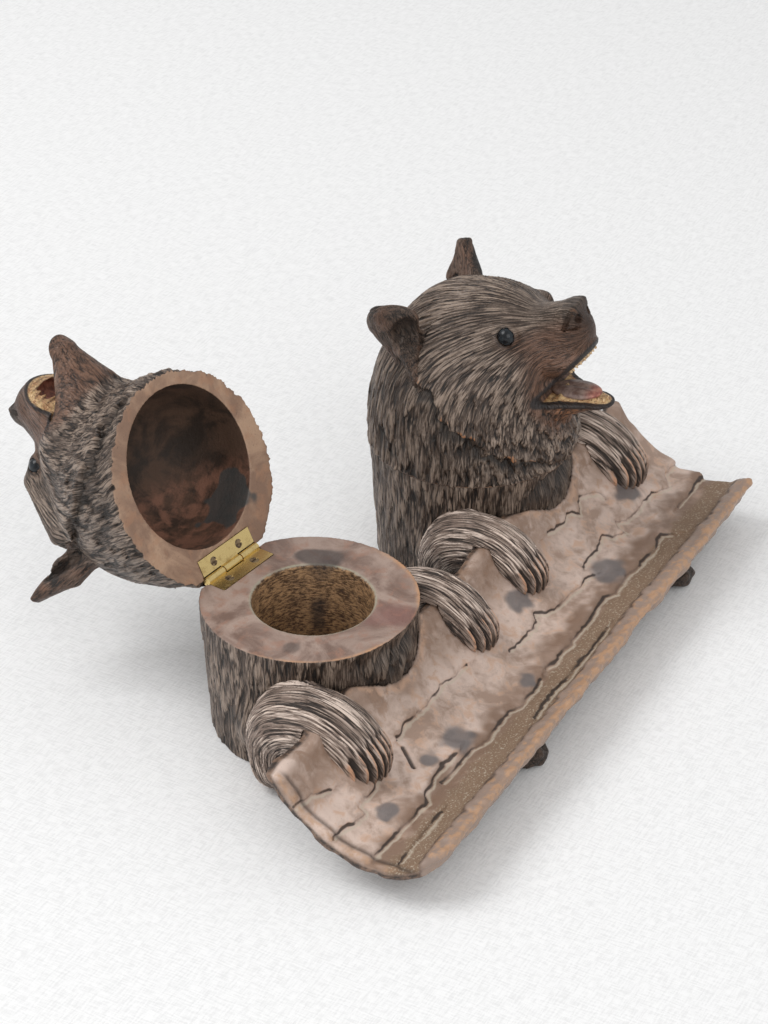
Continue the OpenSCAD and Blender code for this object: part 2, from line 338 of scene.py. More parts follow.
@dataclass(frozen=True)
class Place:
    """Where a bear stands and how far its lid is open."""

    side: Side

    @property
    def x(self) -> float:
        """Place of the inkwell axis along the tray."""
        return SIDE_SHIFT + (WELL_SPACING / 2 if self.side is Side.RIGHT else -WELL_SPACING / 2)

    def stand(self, p: Array) -> Array:
        """Moves points from the bear's own frame to the part's."""
        t = math.radians(7.9 if self.side is Side.LEFT else 0.0)
        x, y, z = p.T
        return np.stack(
            [
                x * math.cos(t) + y * math.sin(t) + self.x,
                -x * math.sin(t) + y * math.cos(t) + BACK_SHIFT,
                z,
            ],
            1,
        )

    def straight(self, p: Array) -> Array:
        """Moves points that aren't turned with the bear."""
        return p + np.array([self.x, BACK_SHIFT, 0.0])

    def lid(self, p: Array) -> Array:
        """Moves a lid's points, which open with the left bear's lid."""
        if self.side is Side.RIGHT:
            return self.stand(p)
        t = math.radians(OPEN_ANGLE)
        x, y, z = p.T
        ry, rz = y - HINGE_Y, z - HINGE_Z
        q = np.stack(
            [
                x,
                HINGE_Y + ry * math.cos(t) + rz * math.sin(t),
                HINGE_Z - ry * math.sin(t) + rz * math.cos(t),
            ],
            1,
        )
        return self.stand(q)


# Finishes


class Wire:
    """A number that runs through a material's nodes."""

    def __init__(self, bench: Bench, socket: Any) -> None:
        """Keeps the socket and the bench that it belongs to."""
        self.bench = bench
        self.socket = socket

    def _do(self, how: str, *values: Any) -> Wire:
        """Adds one Math node."""
        n = self.bench.node("ShaderNodeMath", {"operation": how}, dict(enumerate(values)))
        return Wire(self.bench, n.outputs[0])

    def __add__(self, other: Any) -> Wire:
        """Sum."""
        return self._do("ADD", self, other)

    __radd__ = __add__

    def __sub__(self, other: Any) -> Wire:
        """Difference."""
        return self._do("SUBTRACT", self, other)

    def __rsub__(self, other: Any) -> Wire:
        """Difference from a number."""
        return self._do("SUBTRACT", other, self)

    def __mul__(self, other: Any) -> Wire:
        """Product."""
        return self._do("MULTIPLY", self, other)

    __rmul__ = __mul__

    def __truediv__(self, other: Any) -> Wire:
        """Quotient."""
        return self._do("DIVIDE", self, other)

    def __pow__(self, other: Any) -> Wire:
        """Power."""
        return self._do("POWER", self, other)

    def most(self, other: Any) -> Wire:
        """The larger of two."""
        return self._do("MAXIMUM", self, other)

    def least(self, other: Any) -> Wire:
        """The smaller of two."""
        return self._do("MINIMUM", self, other)

    def ramp(self, low: float, high: float, a: float = 0.0, b: float = 1.0) -> Wire:
        """Smooth step from a at low to b at high."""
        n = self.bench.node(
            "ShaderNodeMapRange",
            {"interpolation_type": "SMOOTHSTEP", "clamp": True},
            {"Value": self, "From Min": low, "From Max": high, "To Min": a, "To Max": b},
        )
        return Wire(self.bench, n.outputs["Result"])


class Bench:
    """Builds one material's nodes."""

    def __init__(self, name: str) -> None:
        """Starts an empty material."""
        self.material = bpy.data.materials.new(name)
        self.material.use_nodes = True
        self.tree = self.material.node_tree
        self.tree.nodes.clear()
        self.coat: Any = None

    def node(self, kind: str, settings: dict[str, Any], values: dict[Any, Any]) -> Any:
        """Adds a node.

        Args:
            kind: the node's type.
            settings: its properties, set first.
            values: numbers, colours, wires or sockets for its inputs.

        Returns:
            The node.
        """
        n = self.tree.nodes.new(kind)
        for key, value in settings.items():
            setattr(n, key, value)
        for key, value in values.items():
            socket = n.inputs[key]
            if isinstance(value, Wire):
                self.tree.links.new(value.socket, socket)
            elif isinstance(value, bpy.types.NodeSocket):
                self.tree.links.new(value, socket)
            else:
                socket.default_value = value
        return n

    def mark(self, name: str) -> Wire:
        """A value kept on the piece's points."""
        n = self.node("ShaderNodeAttribute", {"attribute_name": name}, {})
        return Wire(self, n.outputs["Fac"])

    def flow(self, name: str = "flow") -> Any:
        """A vector kept on the piece's points."""
        return self.node("ShaderNodeAttribute", {"attribute_name": name}, {}).outputs["Vector"]

    def place(self, stretch: Point = (1.0, 1.0, 1.0)) -> Any:
        """Place on the part in mm, with each direction scaled."""
        at = self.node("ShaderNodeTexCoord", {}, {}).outputs["Object"]
        scale = tuple(1000.0 * s for s in stretch)
        n = self.node("ShaderNodeVectorMath", {"operation": "MULTIPLY"}, {0: at, 1: scale})
        return n.outputs[0]

    def cloud(self, at: Any, size: float, detail: float = 3.0, rough: float = 0.55, warp: float = 0.0) -> Wire:
        """Soft noise with hills about size mm apart."""
        n = self.node(
            "ShaderNodeTexNoise",
            {"noise_dimensions": "3D"},
            {"Vector": at, "Scale": 1.0 / size, "Detail": detail, "Roughness": rough, "Distortion": warp},
        )
        return Wire(self, n.outputs["Fac"])

    def furrow(self, at: Any, size: float, detail: float) -> Wire:
        """Distance from thin wandering lines about size mm apart, from 0 up."""
        n = self.cloud(at, size * 1.6, detail, 0.5) - 0.5
        return n._do("ABSOLUTE", n) * 2.4

    def cells(self, at: Any, size: float, edges: bool = True, spread: float = 1.0) -> Wire:
        """Distance to the edge, or to the middle, of cells about size mm wide."""
        n = self.node(
            "ShaderNodeTexVoronoi",
            {"feature": "DISTANCE_TO_EDGE" if edges else "F1"},
            {"Vector": at, "Scale": 1.0 / size, "Randomness": spread},
        )
        return Wire(self, n.outputs["Distance"])

    def mix(self, share: Any, a: Any, b: Any) -> Any:
        """Colour that goes from a to b."""
        n = self.tree.nodes.new("ShaderNodeMix")
        n.data_type = "RGBA"
        for key, value in ((0, share), (6, a), (7, b)):
            if isinstance(value, Wire):
                self.tree.links.new(value.socket, n.inputs[key])
            elif isinstance(value, bpy.types.NodeSocket):
                self.tree.links.new(value, n.inputs[key])
            elif key == 0:
                n.inputs[key].default_value = value
            else:
                n.inputs[key].default_value = (*value, 1.0)
        return n.outputs[2]

    def relief(self, height: Wire, mm: float, before: Any = None) -> Any:
        """Bump of a height given in parts of mm."""
        values = {"Height": height, "Distance": mm * MM, "Strength": 1.0}
        if before is not None:
            values["Normal"] = before
        return self.node("ShaderNodeBump", {}, values).outputs["Normal"]

    def done(self, colour: Any, rough: Any, normal: Any = None, **fixed: Any) -> bpy.types.Material:
        """Adds the shader and the output.

        Args:
            colour: base colour.
            rough: roughness.
            normal: bumped normal.
            fixed: other inputs of the shader by name.

        Returns:
            The finished material.
        """
        values: dict[str, Any] = {"Base Color": colour, "Roughness": rough}
        if isinstance(colour, tuple):
            values["Base Color"] = (*colour, 1.0)
        if normal is not None:
            values["Normal"] = normal
        values.update({k.replace("_", " ").title().replace("Ior", "IOR"): v for k, v in fixed.items()})
        shader = self.node("ShaderNodeBsdfPrincipled", {}, values)
        self.node("ShaderNodeOutputMaterial", {}, {"Surface": shader.outputs[0]})
        return self.material


@dataclass(frozen=True)
class FurWood:
    """Dark stained wood carved as fur, with painted shade in its grooves and a painted highlight on its crests."""

    name: str
    # deep: painted shade in the grooves, also the colour of dark paint and specks.
    deep: Colour = (0.010, 0.0065, 0.0045)
    body: Colour = (0.062, 0.039, 0.027)
    # ridge: a painted highlight on the fur's crests.
    ridge: Colour = (0.30, 0.226, 0.176)
    worn: Colour = (0.36, 0.15, 0.058)
    red: Colour = (0.165, 0.074, 0.040)
    strand: float = 1.0
    cut: float = 0.42

    def paint(self, b: Bench) -> tuple[Any, Wire, Wire]:
        """Colour, roughness and bump height from the marks carve, tone, red, worn and dark, with painted shade in the
        grooves and a painted highlight on the crests.
        """
        flow = b.flow()
        at = b.place()
        carved = b.mark("carve")
        long = b.furrow(flow, 1.15 * self.strand, 2.0).ramp(0.0, 0.17)
        fine = b.furrow(flow, 0.5 * self.strand, 3.0).ramp(0.0, 0.24)
        hair = b.cloud(flow, 0.42 * self.strand, 2.0, 0.6)
        patch = b.cloud(at, 9.0, 4.0, 0.6)
        speck = b.cloud(at, 1.0, 3.0, 0.65)
        grooves = long * 0.55 + fine * 0.45
        crest = (carved * 0.62 + grooves * 0.5 + (hair - 0.5) * 0.5 - 0.12).ramp(0.1, 0.95)
        # Painted highlight: the crests go toward the ridge colour.
        light = (crest * (b.mark("tone") * 0.55 + 0.6) + (patch - 0.5) * 0.6).ramp(0.36, 1.0)
        # Painted shade: the grooves go toward the deep colour.
        base = b.mix(crest.ramp(0.05, 0.5), self.deep, self.body)
        base = b.mix(light, base, self.ridge)
        # The red stain also takes painted shade in the grooves.
        base = b.mix((b.mark("red") * (patch * 0.7 + 0.5)).ramp(0.1, 0.9, 0.0, 0.85), base, b.mix(crest, self.deep, self.red))
        wear = (b.mark("worn") * 1.2 + (patch - 0.62) * 0.9) * crest.ramp(0.35, 0.9)
        base = b.mix(wear.ramp(0.2, 0.9, 0.0, 0.85), base, self.worn)
        base = b.mix((speck.ramp(0.62, 0.74) * 0.35).least(1.0), base, self.deep)
        # The mark dark holds dark paint and, on some pieces, painted shade.
        base = b.mix(b.mark("dark") * 0.85, base, self.deep)
        rough = (0.56 - crest * 0.16 + (speck - 0.5) * 0.25).least(0.9)
        return base, rough, grooves * 0.75 + hair * 0.35

    def make(self) -> bpy.types.Material:
        """Builds the material."""
        b = Bench(self.name)
        base, rough, height = self.paint(b)
        return b.done(base, rough, b.relief(height, self.cut), specular_ior_level=0.5)


@dataclass(frozen=True)
class Brass:
    """Polished yellow brass with dark specks and rubbed edges."""

    name: str
    bright: Colour = (0.80, 0.61, 0.27)
    dull: Colour = (0.42, 0.28, 0.10)

    def make(self) -> bpy.types.Material:
        """Builds the material."""
        b = Bench(self.name)
        at = b.place()
        patch = b.cloud(at, 2.6, 4.0, 0.65)
        speck = b.cloud(at, 0.45, 3.0, 0.7)
        scratch = b.cloud(b.place((0.08, 1.0, 1.0)), 0.25, 3.0, 0.6)
        dirt = (patch.ramp(0.5, 0.75) * 0.6 + speck.ramp(0.6, 0.72) * 0.7).least(1.0)
        base = b.mix(dirt, self.bright, self.dull)
        base = b.mix(speck.ramp(0.68, 0.76), base, (0.03, 0.018, 0.008))
        rough = 0.24 + dirt * 0.3 + (scratch - 0.5) * 0.12
        return b.done(base, rough, b.relief(scratch * 0.5 + patch * 0.5, 0.03), metallic=1.0)


@dataclass(frozen=True)
class ScrewSteel:
    """Dull dark screws."""

    name: str

    def make(self) -> bpy.types.Material:
        """Builds the material."""
        b = Bench(self.name)
        at = b.place()
        patch = b.cloud(at, 1.2, 4.0, 0.65)
        base = b.mix(patch.ramp(0.4, 0.65), (0.34, 0.25, 0.15), (0.07, 0.045, 0.03))
        return b.done(base, 0.38 + patch * 0.25, b.relief(patch, 0.04), metallic=0.7)


@dataclass(frozen=True)
class EyeGlass:
    """Glossy blue-black bead."""

    name: str

    def make(self) -> bpy.types.Material:
        """Builds the material."""
        b = Bench(self.name)
        patch = b.cloud(b.place(), 1.4, 3.0, 0.5)
        base = b.mix(patch.ramp(0.35, 0.7), (0.005, 0.006, 0.008), (0.018, 0.023, 0.028))
        return b.done(base, 0.16 + patch * 0.12, b.relief(patch, 0.05), specular_ior_level=0.35)


# Bears


def own_frame(y: float, z: float, tilt: float) -> tuple[float, float]:
    """Turns a point of a level head to the upright frame of its bear."""
    t = math.radians(tilt)
    return y * math.cos(t) + z * math.sin(t), 80.0 - y * math.sin(t) + z * math.cos(t)


@dataclass(frozen=True)
class Mouth:
    """A bear's open mouth: both lips' planes at their corner, the jaw behind them and its trough."""

    corner: tuple[float, float] = (-24.4, -19.0)
    upper: tuple[float, float] = (-17.7, 27.0)
    lower: tuple[float, float] = (-20.8, 24.0)
    split: float = -24.4
    back: tuple[float, float] = (-13.0, -20.5)
    back_r: float = 9.9
    front: tuple[float, float] = (-36.2, -25.6)
    front_r: float = 3.3
    tip: tuple[float, float] = (-37.0, -27.0)
    trough: float = 1.8
    line: float = 1.35
    inset: float = 0.65
    rise: float = 3.0
    narrow: float = 0.66
    gum_w: float = 3.55
    lower_inset: float = 1.9
    upper_inset: float = 1.0


OPEN_MOUTH = Mouth(
    corner=(-26.4, -12.4),
    upper=(-12.7, 16.0),
    lower=(-11.0, 43.0),
    split=-26.0,
    back=(-20.0, -18.8),
    back_r=11.5,
    front=(-37.5, -27.0),
    front_r=3.6,
    tip=(-38.2, -27.4),
    trough=5.2,
    line=0.6,
    inset=0.25,
    rise=2.2,
    narrow=0.82,
    gum_w=2.4,
    lower_inset=0.9,
    upper_inset=1.4,
)


@dataclass
class Head:
    """A bear's head: neck, skull, muzzle, lips and the hollow inside, drawn shut."""

    side: Side
    tilt: float
    seed: int
    rim_r: float
    rim_y: float
    mouth: Mouth
    brow: float
    bridge: float
    chips: float
    neck_h: float = 57.0
    cavity_r: float = 26.0
    cavity_wall: float = 7.0
    cell: float = 0.42
    ruff: Line = (
        (0.0, 46.0),
        (10.0, 48.6),
        (22.6, 54.8),
        (31.8, 59.2),
        (38.3, 63.8),
        (44.8, 67.5),
        (49.5, 74.5),
        (57.9, 83.0),
        (61.0, 94.0),
    )

    def level(self, y: Array, z: Array) -> tuple[Array, Array]:
        """Places in the level head's frame."""
        t = math.radians(self.tilt)
        c, s = math.cos(t), math.sin(t)
        return y * c - (z - 80.0) * s, y * s + (z - 80.0) * c

    def flow(self, x: Array, y: Array, z: Array) -> tuple[Array, Array]:
        """Fur coordinates: turn round the bent axis from nose to rim, and mm along it."""
        ny, nz = own_frame(-42.0, 2.0, self.tilt)
        t = math.radians(self.tilt)
        cy, cz = ny - 45 * math.sin(t), nz - 45 * math.cos(t)
        ry, rz = y - cy, z - cz
        r = np.sqrt(ry * ry + rz * rz)
        beta = np.arctan2(rz, ry)
        mid = 62.0 - 19.0 * np.clip(beta / 1.13, -0.3, 1.15)
        turn = np.arctan2(x, r - mid) / (2 * math.pi) + 0.5
        sweep = -0.06 * ease(90.0, 46.0, z) * np.sin((turn - 0.5) * 2 * math.pi)
        return turn + sweep, -beta * 58.0

    def face(self, x: Array, ly: Array, lz: Array) -> Array:
        """Skull, brow, cheeks, muzzle and nose of the level head."""
        side = np.abs(x)
        d = egg(x, ly, lz, (0, -8.0, 0.4), (20.4, 20.5, 19.2))
        d = blend(d, egg(x, ly, lz, (0, -15.0, 3.4), (16.6, 13.6, 12.0)), 2.5)
        d = blend(d, egg(side, ly, lz, (11.0, -11.0, -9.5), (11.8, 14.8, 12.8)), 4.0)
        d = blend(d, limb(x * 0.93, ly, lz, (0, -19, -3.8), (0, -36.4, -1.4), 12.4, 8.2), 5.0)
        d = blend(d, egg(x, ly, lz, (0, -32.0, -8.6), (10.8, 10.4, 6.2)), 3.0)
        low, high = (0, -22.0, 2.4 + self.bridge), (0, -39.6, 4.3 + 0.6 * self.bridge)
        d = blend(d, limb(x * 0.8, ly, lz, low, high, 6.5, 4.2), 2.0)
        return blend(d, self.nose(side, ly, lz), 2.4)

    def nose(self, side: Array, ly: Array, lz: Array) -> Array:
        """The nose pad, a wedge with a flat top and a leaning front."""
        d = carve(lz - 8.2 + 0.06 * (ly + 40.0), ly + 44.7 - 0.34 * (8.2 - lz), 1.9)
        d = carve(d, 5.4 + 0.12 * (ly + 40.0) - side, 1.6)
        return carve(carve(d, lz - 0.8, 1.4), -(ly + 38.2), 2.0)

    def chin(self, x: Array, ly: Array, lz: Array) -> Array:
        """The lower jaw that grows out of the cheeks."""
        m = self.mouth
        d = limb(x * m.narrow, ly, lz, (0, *m.back), (0, *m.front), m.back_r, m.front_r)
        return blend(d, egg(x, ly, lz, (0, *m.tip), (4.6, 4.9, 2.2), 12), 1.5)

    def form(self, x: Array, y: Array, z: Array) -> Array:
        """The head and its jaw without their fur."""
        q = ((np.sqrt(x * x + (y - self.rim_y) ** 2)) / self.rim_r) ** 2.15
        h = np.clip(z - SEAT_H, 0, None) / self.neck_h
        neck = ((q + h**2.15) ** (1 / 2.15) - 1.0) * 31.0
        d = np.maximum(neck, 40.0 - z) + 0.6 * ease(70.0, 90.0, z)
        ly, lz = self.level(y, z)
        face = self.face(x, ly, lz)
        side = np.abs(x)
        sockets = egg(side, ly, lz, (18.2, -23.6, 5.2), (4.6, 6.0, 4.4))
        face = carve(face, sockets, 3.0)
        lids = egg(side, ly, lz, (12.9, -21.3, 5.5), (2.8, 4.5, 4.3))
        face = blend(face, lids, 1.4)
        if self.brow:
            brow = limb(side, ly, lz, (15.5, -19.5, 10.5), (17.5, -1.0, 11.0), self.brow, self.brow + 4.3)
            face = blend(face, brow, 5.0)
        d = blend(d, face, 3.0)
        return blend(d, self.chin(x, ly, lz), 4.0)

    def over(self, x: Array, y: Array, z: Array) -> Array:
        """Distance past the ruff's edge, above 0 on the cheek side."""
        turn = np.degrees(np.arctan2(np.abs(x), -(y - 1.0))) * 0.558
        d, side = reach_of(self.ruff, turn, z)
        wave = 1.7 * GRAIN.read(x, y, z, 2.4) + 2.4 * GRAIN.read(x, y, z + 40.0, 6.0)
        return d * side + wave

    def fur(self, x: Array, y: Array, z: Array) -> tuple[Array, Array, Array]:
        """Relief in mm, its height from 0 to 1 and the tufts' tones."""
        turn, along = self.flow(x, y, z)
        wander = GRAIN.read(x, y, z, 9.0) * 0.005 + GRAIN.read(x, y, z, 4.0) * 0.0015
        ly, lz = self.level(y, z)
        muzzle = ease(-21.0, -31.0, ly)
        top = ease(-2.0, 10.0, lz) * ease(-26.0, -18.0, ly)
        big, tone = Tufts(44, 17.0, self.seed, 1.6, 0.3).read(turn + wander, along)
        small, tone2 = Tufts(90, 11.0, self.seed + 5, 1.0, 0.22).read(turn + wander, along * 1.03)
        wave = np.cos(2 * math.pi * (turn + wander) * 116 + 1.3 * GRAIN.read(x, y, z, 7.0))
        fine = 0.5 + 0.5 * wave
        over = self.over(x, y, z)
        coarse = ease(80.0, 58.0, z) * 0.75 + 0.25
        height = big * 0.62 + small * 0.38
        height = height * (1 - 0.75 * top) + 0.75 * top * (0.3 + 0.7 * fine)
        height = height * (1 - muzzle) + muzzle * (0.45 + 0.35 * small)
        amount = (0.34 + 0.66 * coarse) * (1.0 - 0.8 * muzzle)
        step = (ease(-0.8, 0.8, over) - 0.62) * ease(46.2, 50.0, z) * ease(98.0, 86.0, z)
        step = 1.7 * step * np.exp(-np.clip(np.abs(over) - 1.0, 0, None) / 7.0)
        return 1.7 * amount * (height - 0.55) + step, height, tone * 0.6 + tone2 * 0.4

    def relief(self, x: Array, y: Array, z: Array) -> Array:
        """Relief of the skin in mm."""
        relief = self.fur(x, y, z)[0]
        ly, lz = self.level(y, z)
        around = np.sqrt((np.abs(x) - 14.5) ** 2 + (ly + 21.8) ** 2 + (lz - 5.9) ** 2)
        relief = relief * ease(3.4, 6.0, around)
        lips = self.upper(ly, lz)
        lower = -self.lower(ly, lz)
        edge = 0.45 * bump(lips, 1.0, 0.8) + 0.4 * bump(lower, 0.8, 0.8)
        return relief + edge * ease(-22.0, -26.0, ly)

    def upper(self, ly: Array, lz: Array) -> Array:
        """Height above the upper lip's plane."""
        height, turn = self.mouth.upper
        t = math.radians(turn)
        return (lz - height) * math.cos(t) + (ly + 24.4) * math.sin(t)

    def lower(self, ly: Array, lz: Array) -> Array:
        """Height above the lower lip's plane."""
        height, turn = self.mouth.lower
        t = math.radians(turn)
        return (lz - height) * math.cos(t) - (ly + 24.4) * math.sin(t)

    def corner(self, ly: Array, lz: Array) -> Array:
        """Distance from the corner of the mouth."""
        return np.sqrt((ly - self.mouth.corner[0]) ** 2 + (lz - self.mouth.corner[1]) ** 2)

    def gum(self, inset: Array, ly: Array, rise: float, trough: float = 1.8) -> Array:
        """How far the gum stands out of a lip's plane.

        Args:
            inset: distance in from the lips' skin.
            ly: place along the jaw.
            rise: height of the gum in mm.
            trough: depth of the mouth behind the gum in mm.

        Returns:
            Height in mm, below 0 behind the gum.
        """
        teeth = 0.82 + 0.18 * np.cos(2 * math.pi * ly / 2.3)
        ridge = rise * teeth * bump(inset, 2.1, 0.95) * ease(-25.0, -27.5, ly)
        return ridge - trough * ease(3.2, 4.8, inset)

    def cuts(self, x: Array, y: Array, z: Array, skin: Array) -> Array:
        """Seam, hollow, mouth, eye sockets, nostrils, the jaw's and the hinge's room."""
        ly, lz = self.level(y, z)
        d = LID_H - z
        d = np.maximum(d, (y - 31.55) - 40.0 * ease(47.8, 48.8, z))
        r = np.sqrt(x * x + (y + 2.0) ** 2)
        tube = np.maximum(r - self.cavity_r, z - (LID_H + self.cavity_wall))
        dome = ball(x, y, z, (0, -2.0, LID_H + self.cavity_wall), self.cavity_r)
        d = np.maximum(d, -np.minimum(tube, dome))
        roof = self.upper(ly, lz) + self.gum(-skin, ly, 1.9)
        floor = self.lower(ly, lz)
        mouth = np.maximum(np.maximum(roof, -floor), ly - self.mouth.split)
        d = np.maximum(d, -np.minimum(mouth, self.corner(ly, lz) - 1.5))
        d = np.maximum(d, -np.maximum(ly - self.mouth.split + 0.8, floor - 0.01))
        d = np.maximum(d, -ball(np.abs(x), ly, lz, (13.6, -22.0, 5.9), 3.06))
        side = np.abs(x)
        d = carve(d, egg(side, ly, lz, (3.6, -43.6, 3.6), (1.6, 2.0, 1.5), 25), 0.5)
        d = carve(d, limb(side, ly, lz, (5.0, -43.6, 7.8), (6.7, -38.8, 1.9), 0.75, 0.8), 0.5)
        d = carve(d, limb(side, ly, lz, (6.7, -38.8, 1.7), (4.6, -43.6, 0.8), 0.8, 0.65), 0.5)
        d = carve(d, limb(x, ly, lz, (0, -45.6, 1.4), (0, -44.6, -8.0), 0.6, 0.5), 0.5)
        room = np.maximum(side - 12.6, LID_H - 2.0 - z)
        room = np.maximum(room, np.maximum(z - (LID_H + 1.02), HINGE_Y - 7.05 - y))
        d = np.maximum(d, -room)
        rod = np.maximum(np.sqrt((y - HINGE_Y) ** 2 + (z - HINGE_Z) ** 2) - 1.75, side - 12.85)
        return np.maximum(d, -rod)

    def mouth_marks(self, p: Array) -> dict[str, Array]:
        """Lip line, gum and mouth of the head or the jaw."""
        x, y, z = (p[:, i].astype(np.float32) for i in range(3))
        ly, lz = self.level(y, z)
        up, down = self.upper(ly, lz), self.lower(ly, lz)
        inset = -self.form(x, y, z)
        m = self.mouth
        rear = m.corner[0]
        front = ease(rear + 1.6, rear, ly)
        skin = ease(m.inset + 0.2, m.inset - 0.15, inset)
        lips = ease(m.line + 0.35, m.line - 0.35, up) * (up > -0.3)
        lips = lips + ease(-m.line - 0.65, -m.line + 0.05, down) * (down < 0.4)
        corner = ease(m.line + 1.8, m.line + 1.1, self.corner(ly, lz))
        face = ((up < 2.3) & (down > -m.trough - 0.6) & (ly < rear + 1.0)).astype(np.float32) * (1 - skin)
        behind = ease(m.gum_w - 0.35, m.gum_w + 0.35, inset)
        gum = face * ease(m.inset - 0.15, m.inset + 0.15, inset) * (1 - behind)
        deep = face * behind
        gap = bump(np.mod(ly + 0.6, 2.3), 1.15, 0.34) * bump(inset, 2.1, 0.8) * gum
        edge = face * ease(m.inset + 0.15, m.inset - 0.15, inset)
        return {
            "lips": np.clip(np.maximum(lips * front, corner) * skin + edge, 0, 1),
            "gum": np.clip(gum, 0, 1),
            "throat": np.clip(deep, 0, 1),
            "palate": np.clip(deep * ease(-0.5, 0.5, up + down), 0, 1),
            "gap": np.clip(gap, 0, 1),
        }

    def marks(self, p: Array) -> dict[str, Array]:
        """Grooves, tones, stains and painted shade at the mesh's points."""
        x, y, z = (p[:, i].astype(np.float32) for i in range(3))
        _, height, tone = self.fur(x, y, z)
        ly, lz = self.level(y, z)
        turn, along = self.flow(x, y, z)
        a = (turn - 0.5) * 2 * math.pi
        flow = np.stack([26 * np.sin(a), 26 * np.cos(a), along * 0.13 + 90], 1)
        blot = GRAIN.read(x, y, z, 8.0)
        side = np.abs(x)
        muzzle = ease(-19.0, -29.0, ly)
        red = muzzle * ease(9.0, 1.0, lz + 3 * blot)
        red = red + 0.9 * bump(side, 15.5, 3.5) * bump(ly, -22.5, 5.0) * bump(lz, 4.8, 4.2)
        red = red + 0.5 * bump(side, 12.0, 6.0) * bump(ly, -24.0, 6.0) * bump(lz, -16.0, 8.0)
        eye = np.sqrt((side - 14.4) ** 2 + (ly + 21.9) ** 2 + (lz - 5.9) ** 2)
        dark = 0.8 * bump(eye, 3.1, 0.35)
        nose = ease(-38.8, -40.0, ly) * bump(lz, 5.0, 4.0)
        dark = np.maximum(dark, 0.7 * nose)
        over = self.over(x, y, z)
        within = ease(47.0, 51.0, z) * ease(98.0, 86.0, z)
        # Painted shade just inside the ruff's edge, where the cheeks overhang the neck.
        shade = within * (bump(over, -1.6, 1.5) * 0.9 + 0.25 * ease(0.0, -3.0, over))
        worn = self.chips * bump(over, 0.9, 1.1) * ease(0.12, 0.4, GRAIN.read(x, y, z, 5.0)) * ease(48, 56, z) * ease(84, 76, z)
        worn = worn + 0.5 * self.chips * muzzle * ease(2.0, -8.0, lz) * ease(-0.1, 0.5, blot)
        worn = worn + 0.7 * bump(ly, -43.4, 1.6) * bump(lz, 6.6, 2.0)
        worn = worn + 0.3 * ease(0.5, 0.8, GRAIN.read(x, y, z, 4.0)) * ease(75, 60, z)
        chin = ease(-17.0, -27.0, ly) * ease(-15.0, -21.0, lz)
        red = red + chin
        worn = worn + 0.22 * self.chips * chin * ease(-0.3, 0.4, blot)
        inside = self.inner(x, y, z)
        marks = {
            "carve": height,
            "tone": tone,
            "flow": flow,
            "red": np.clip(red, 0, 1),
            # dark holds the ring round the eye, the nose's dark paint and the painted shade at the ruff's edge.
            "dark": np.clip(np.maximum(dark, shade), 0, 1) * (1 - inside),
            "worn": np.clip(worn, 0, 1),
            "inner": inside,
            "cup": inside * (z > LID_H + 0.3),
            "low": ease(2.0, 12.0, y),
            "stain": self.stain(x, y, z),
        }
        marks.update(self.mouth_marks(p))
        return marks

    def inner(self, x: Array, y: Array, z: Array) -> Array:
        """1 on the rim's face and in the hollow."""
        hollow = ball(x, y, z, (0, -2.0, LID_H + self.cavity_wall), self.cavity_r + 0.5)
        r = np.sqrt(x * x + (y + 2.0) ** 2)
        tube = np.maximum(r - self.cavity_r - 0.5, z - (LID_H + self.cavity_wall))
        return ((np.minimum(hollow, tube) < 0) | (z < LID_H + 0.12)).astype(np.float32)

    def stain(self, x: Array, y: Array, z: Array) -> Array:
        """Grey-black ink stain in the hollow."""
        blot = GRAIN.read(x, y, z, 7.0) * 5 + GRAIN.read(x, y, z, 2.6) * 1.6
        spot = np.sqrt((x - 16.0) ** 2 + (y - 17.0) ** 2 + (0.9 * (z - 54.0)) ** 2) + blot
        return ease(9.0, 8.0, spot)

    def build(self) -> bpy.types.Object:
        """Carves the head and lays it shut or open."""
        ny, _ = own_frame(-46.5, 4, self.tilt)
        block = Block((-37.5, min(ny, -42.0) - 1.5, 43.0), (37.5, 39.0, 113.0), self.cell)
        points, quads = Carving(block, self.form, self.relief, self.cuts).mesh()
        return as_object(f"{self.side.value}_carved_head", Place(self.side).lid(points), quads, self.marks(points))


@dataclass
class Jaw:
    """The open lower jaw with its gum, teeth and lip line."""

    head: Head
    cell: float = 0.3

    def cuts(self, x: Array, y: Array, z: Array, skin: Array) -> Array:
        """What the head keeps, and the lip's face with its gum."""
        ly, lz = self.head.level(y, z)
        mouth = self.head.mouth
        face = self.head.lower(ly, lz) - self.head.gum(-skin, ly, mouth.rise, mouth.trough)
        return np.maximum(face, ly - mouth.split - 0.6)

    def build(self) -> bpy.types.Object:
        """Carves the jaw."""
        y0, z0 = own_frame(-33.5, -26, self.head.tilt)
        block = Block((-17.0, y0 - 13, z0 - 13), (17.0, y0 + 13, z0 + 18), self.cell)
        points, quads = Carving(block, self.head.form, self.head.relief, self.cuts).mesh()
        side = self.head.side
        marks = self.head.marks(points)
        return as_object(f"{side.value}_carved_jaw", Place(side).lid(points), quads, marks)


@dataclass
class Tongue:
    """A tongue with a groove down its middle."""

    head: Head
    cell: float = 0.28

    def form(self, x: Array, y: Array, z: Array) -> Array:
        """The tongue in the bear's frame."""
        ly, lz = self.head.level(y, z)
        d = egg(x, ly, lz, (0, -30.4, -21.9), (5.6, 8.8, 2.0), 19)
        return carve(d, limb(x, ly, lz, (0, -23, -17.4), (0, -38, -22.4), 0.7, 0.7), 1.2)

    def build(self) -> bpy.types.Object:
        """Carves the tongue."""
        y0, z0 = own_frame(-31, -21, self.head.tilt)
        block = Block((-6.5, y0 - 11, z0 - 9), (6.5, y0 + 11, z0 + 9), self.cell)
        points, quads = Carving(block, self.form).mesh()
        ly, _ = self.head.level(points[:, 1], points[:, 2])
        side = self.head.side
        marks = {"tip": ease(-34.0, -38.0, ly).astype(np.float32)}
        return as_object(f"{side.value}_carved_tongue", Place(side).lid(points), quads, marks)


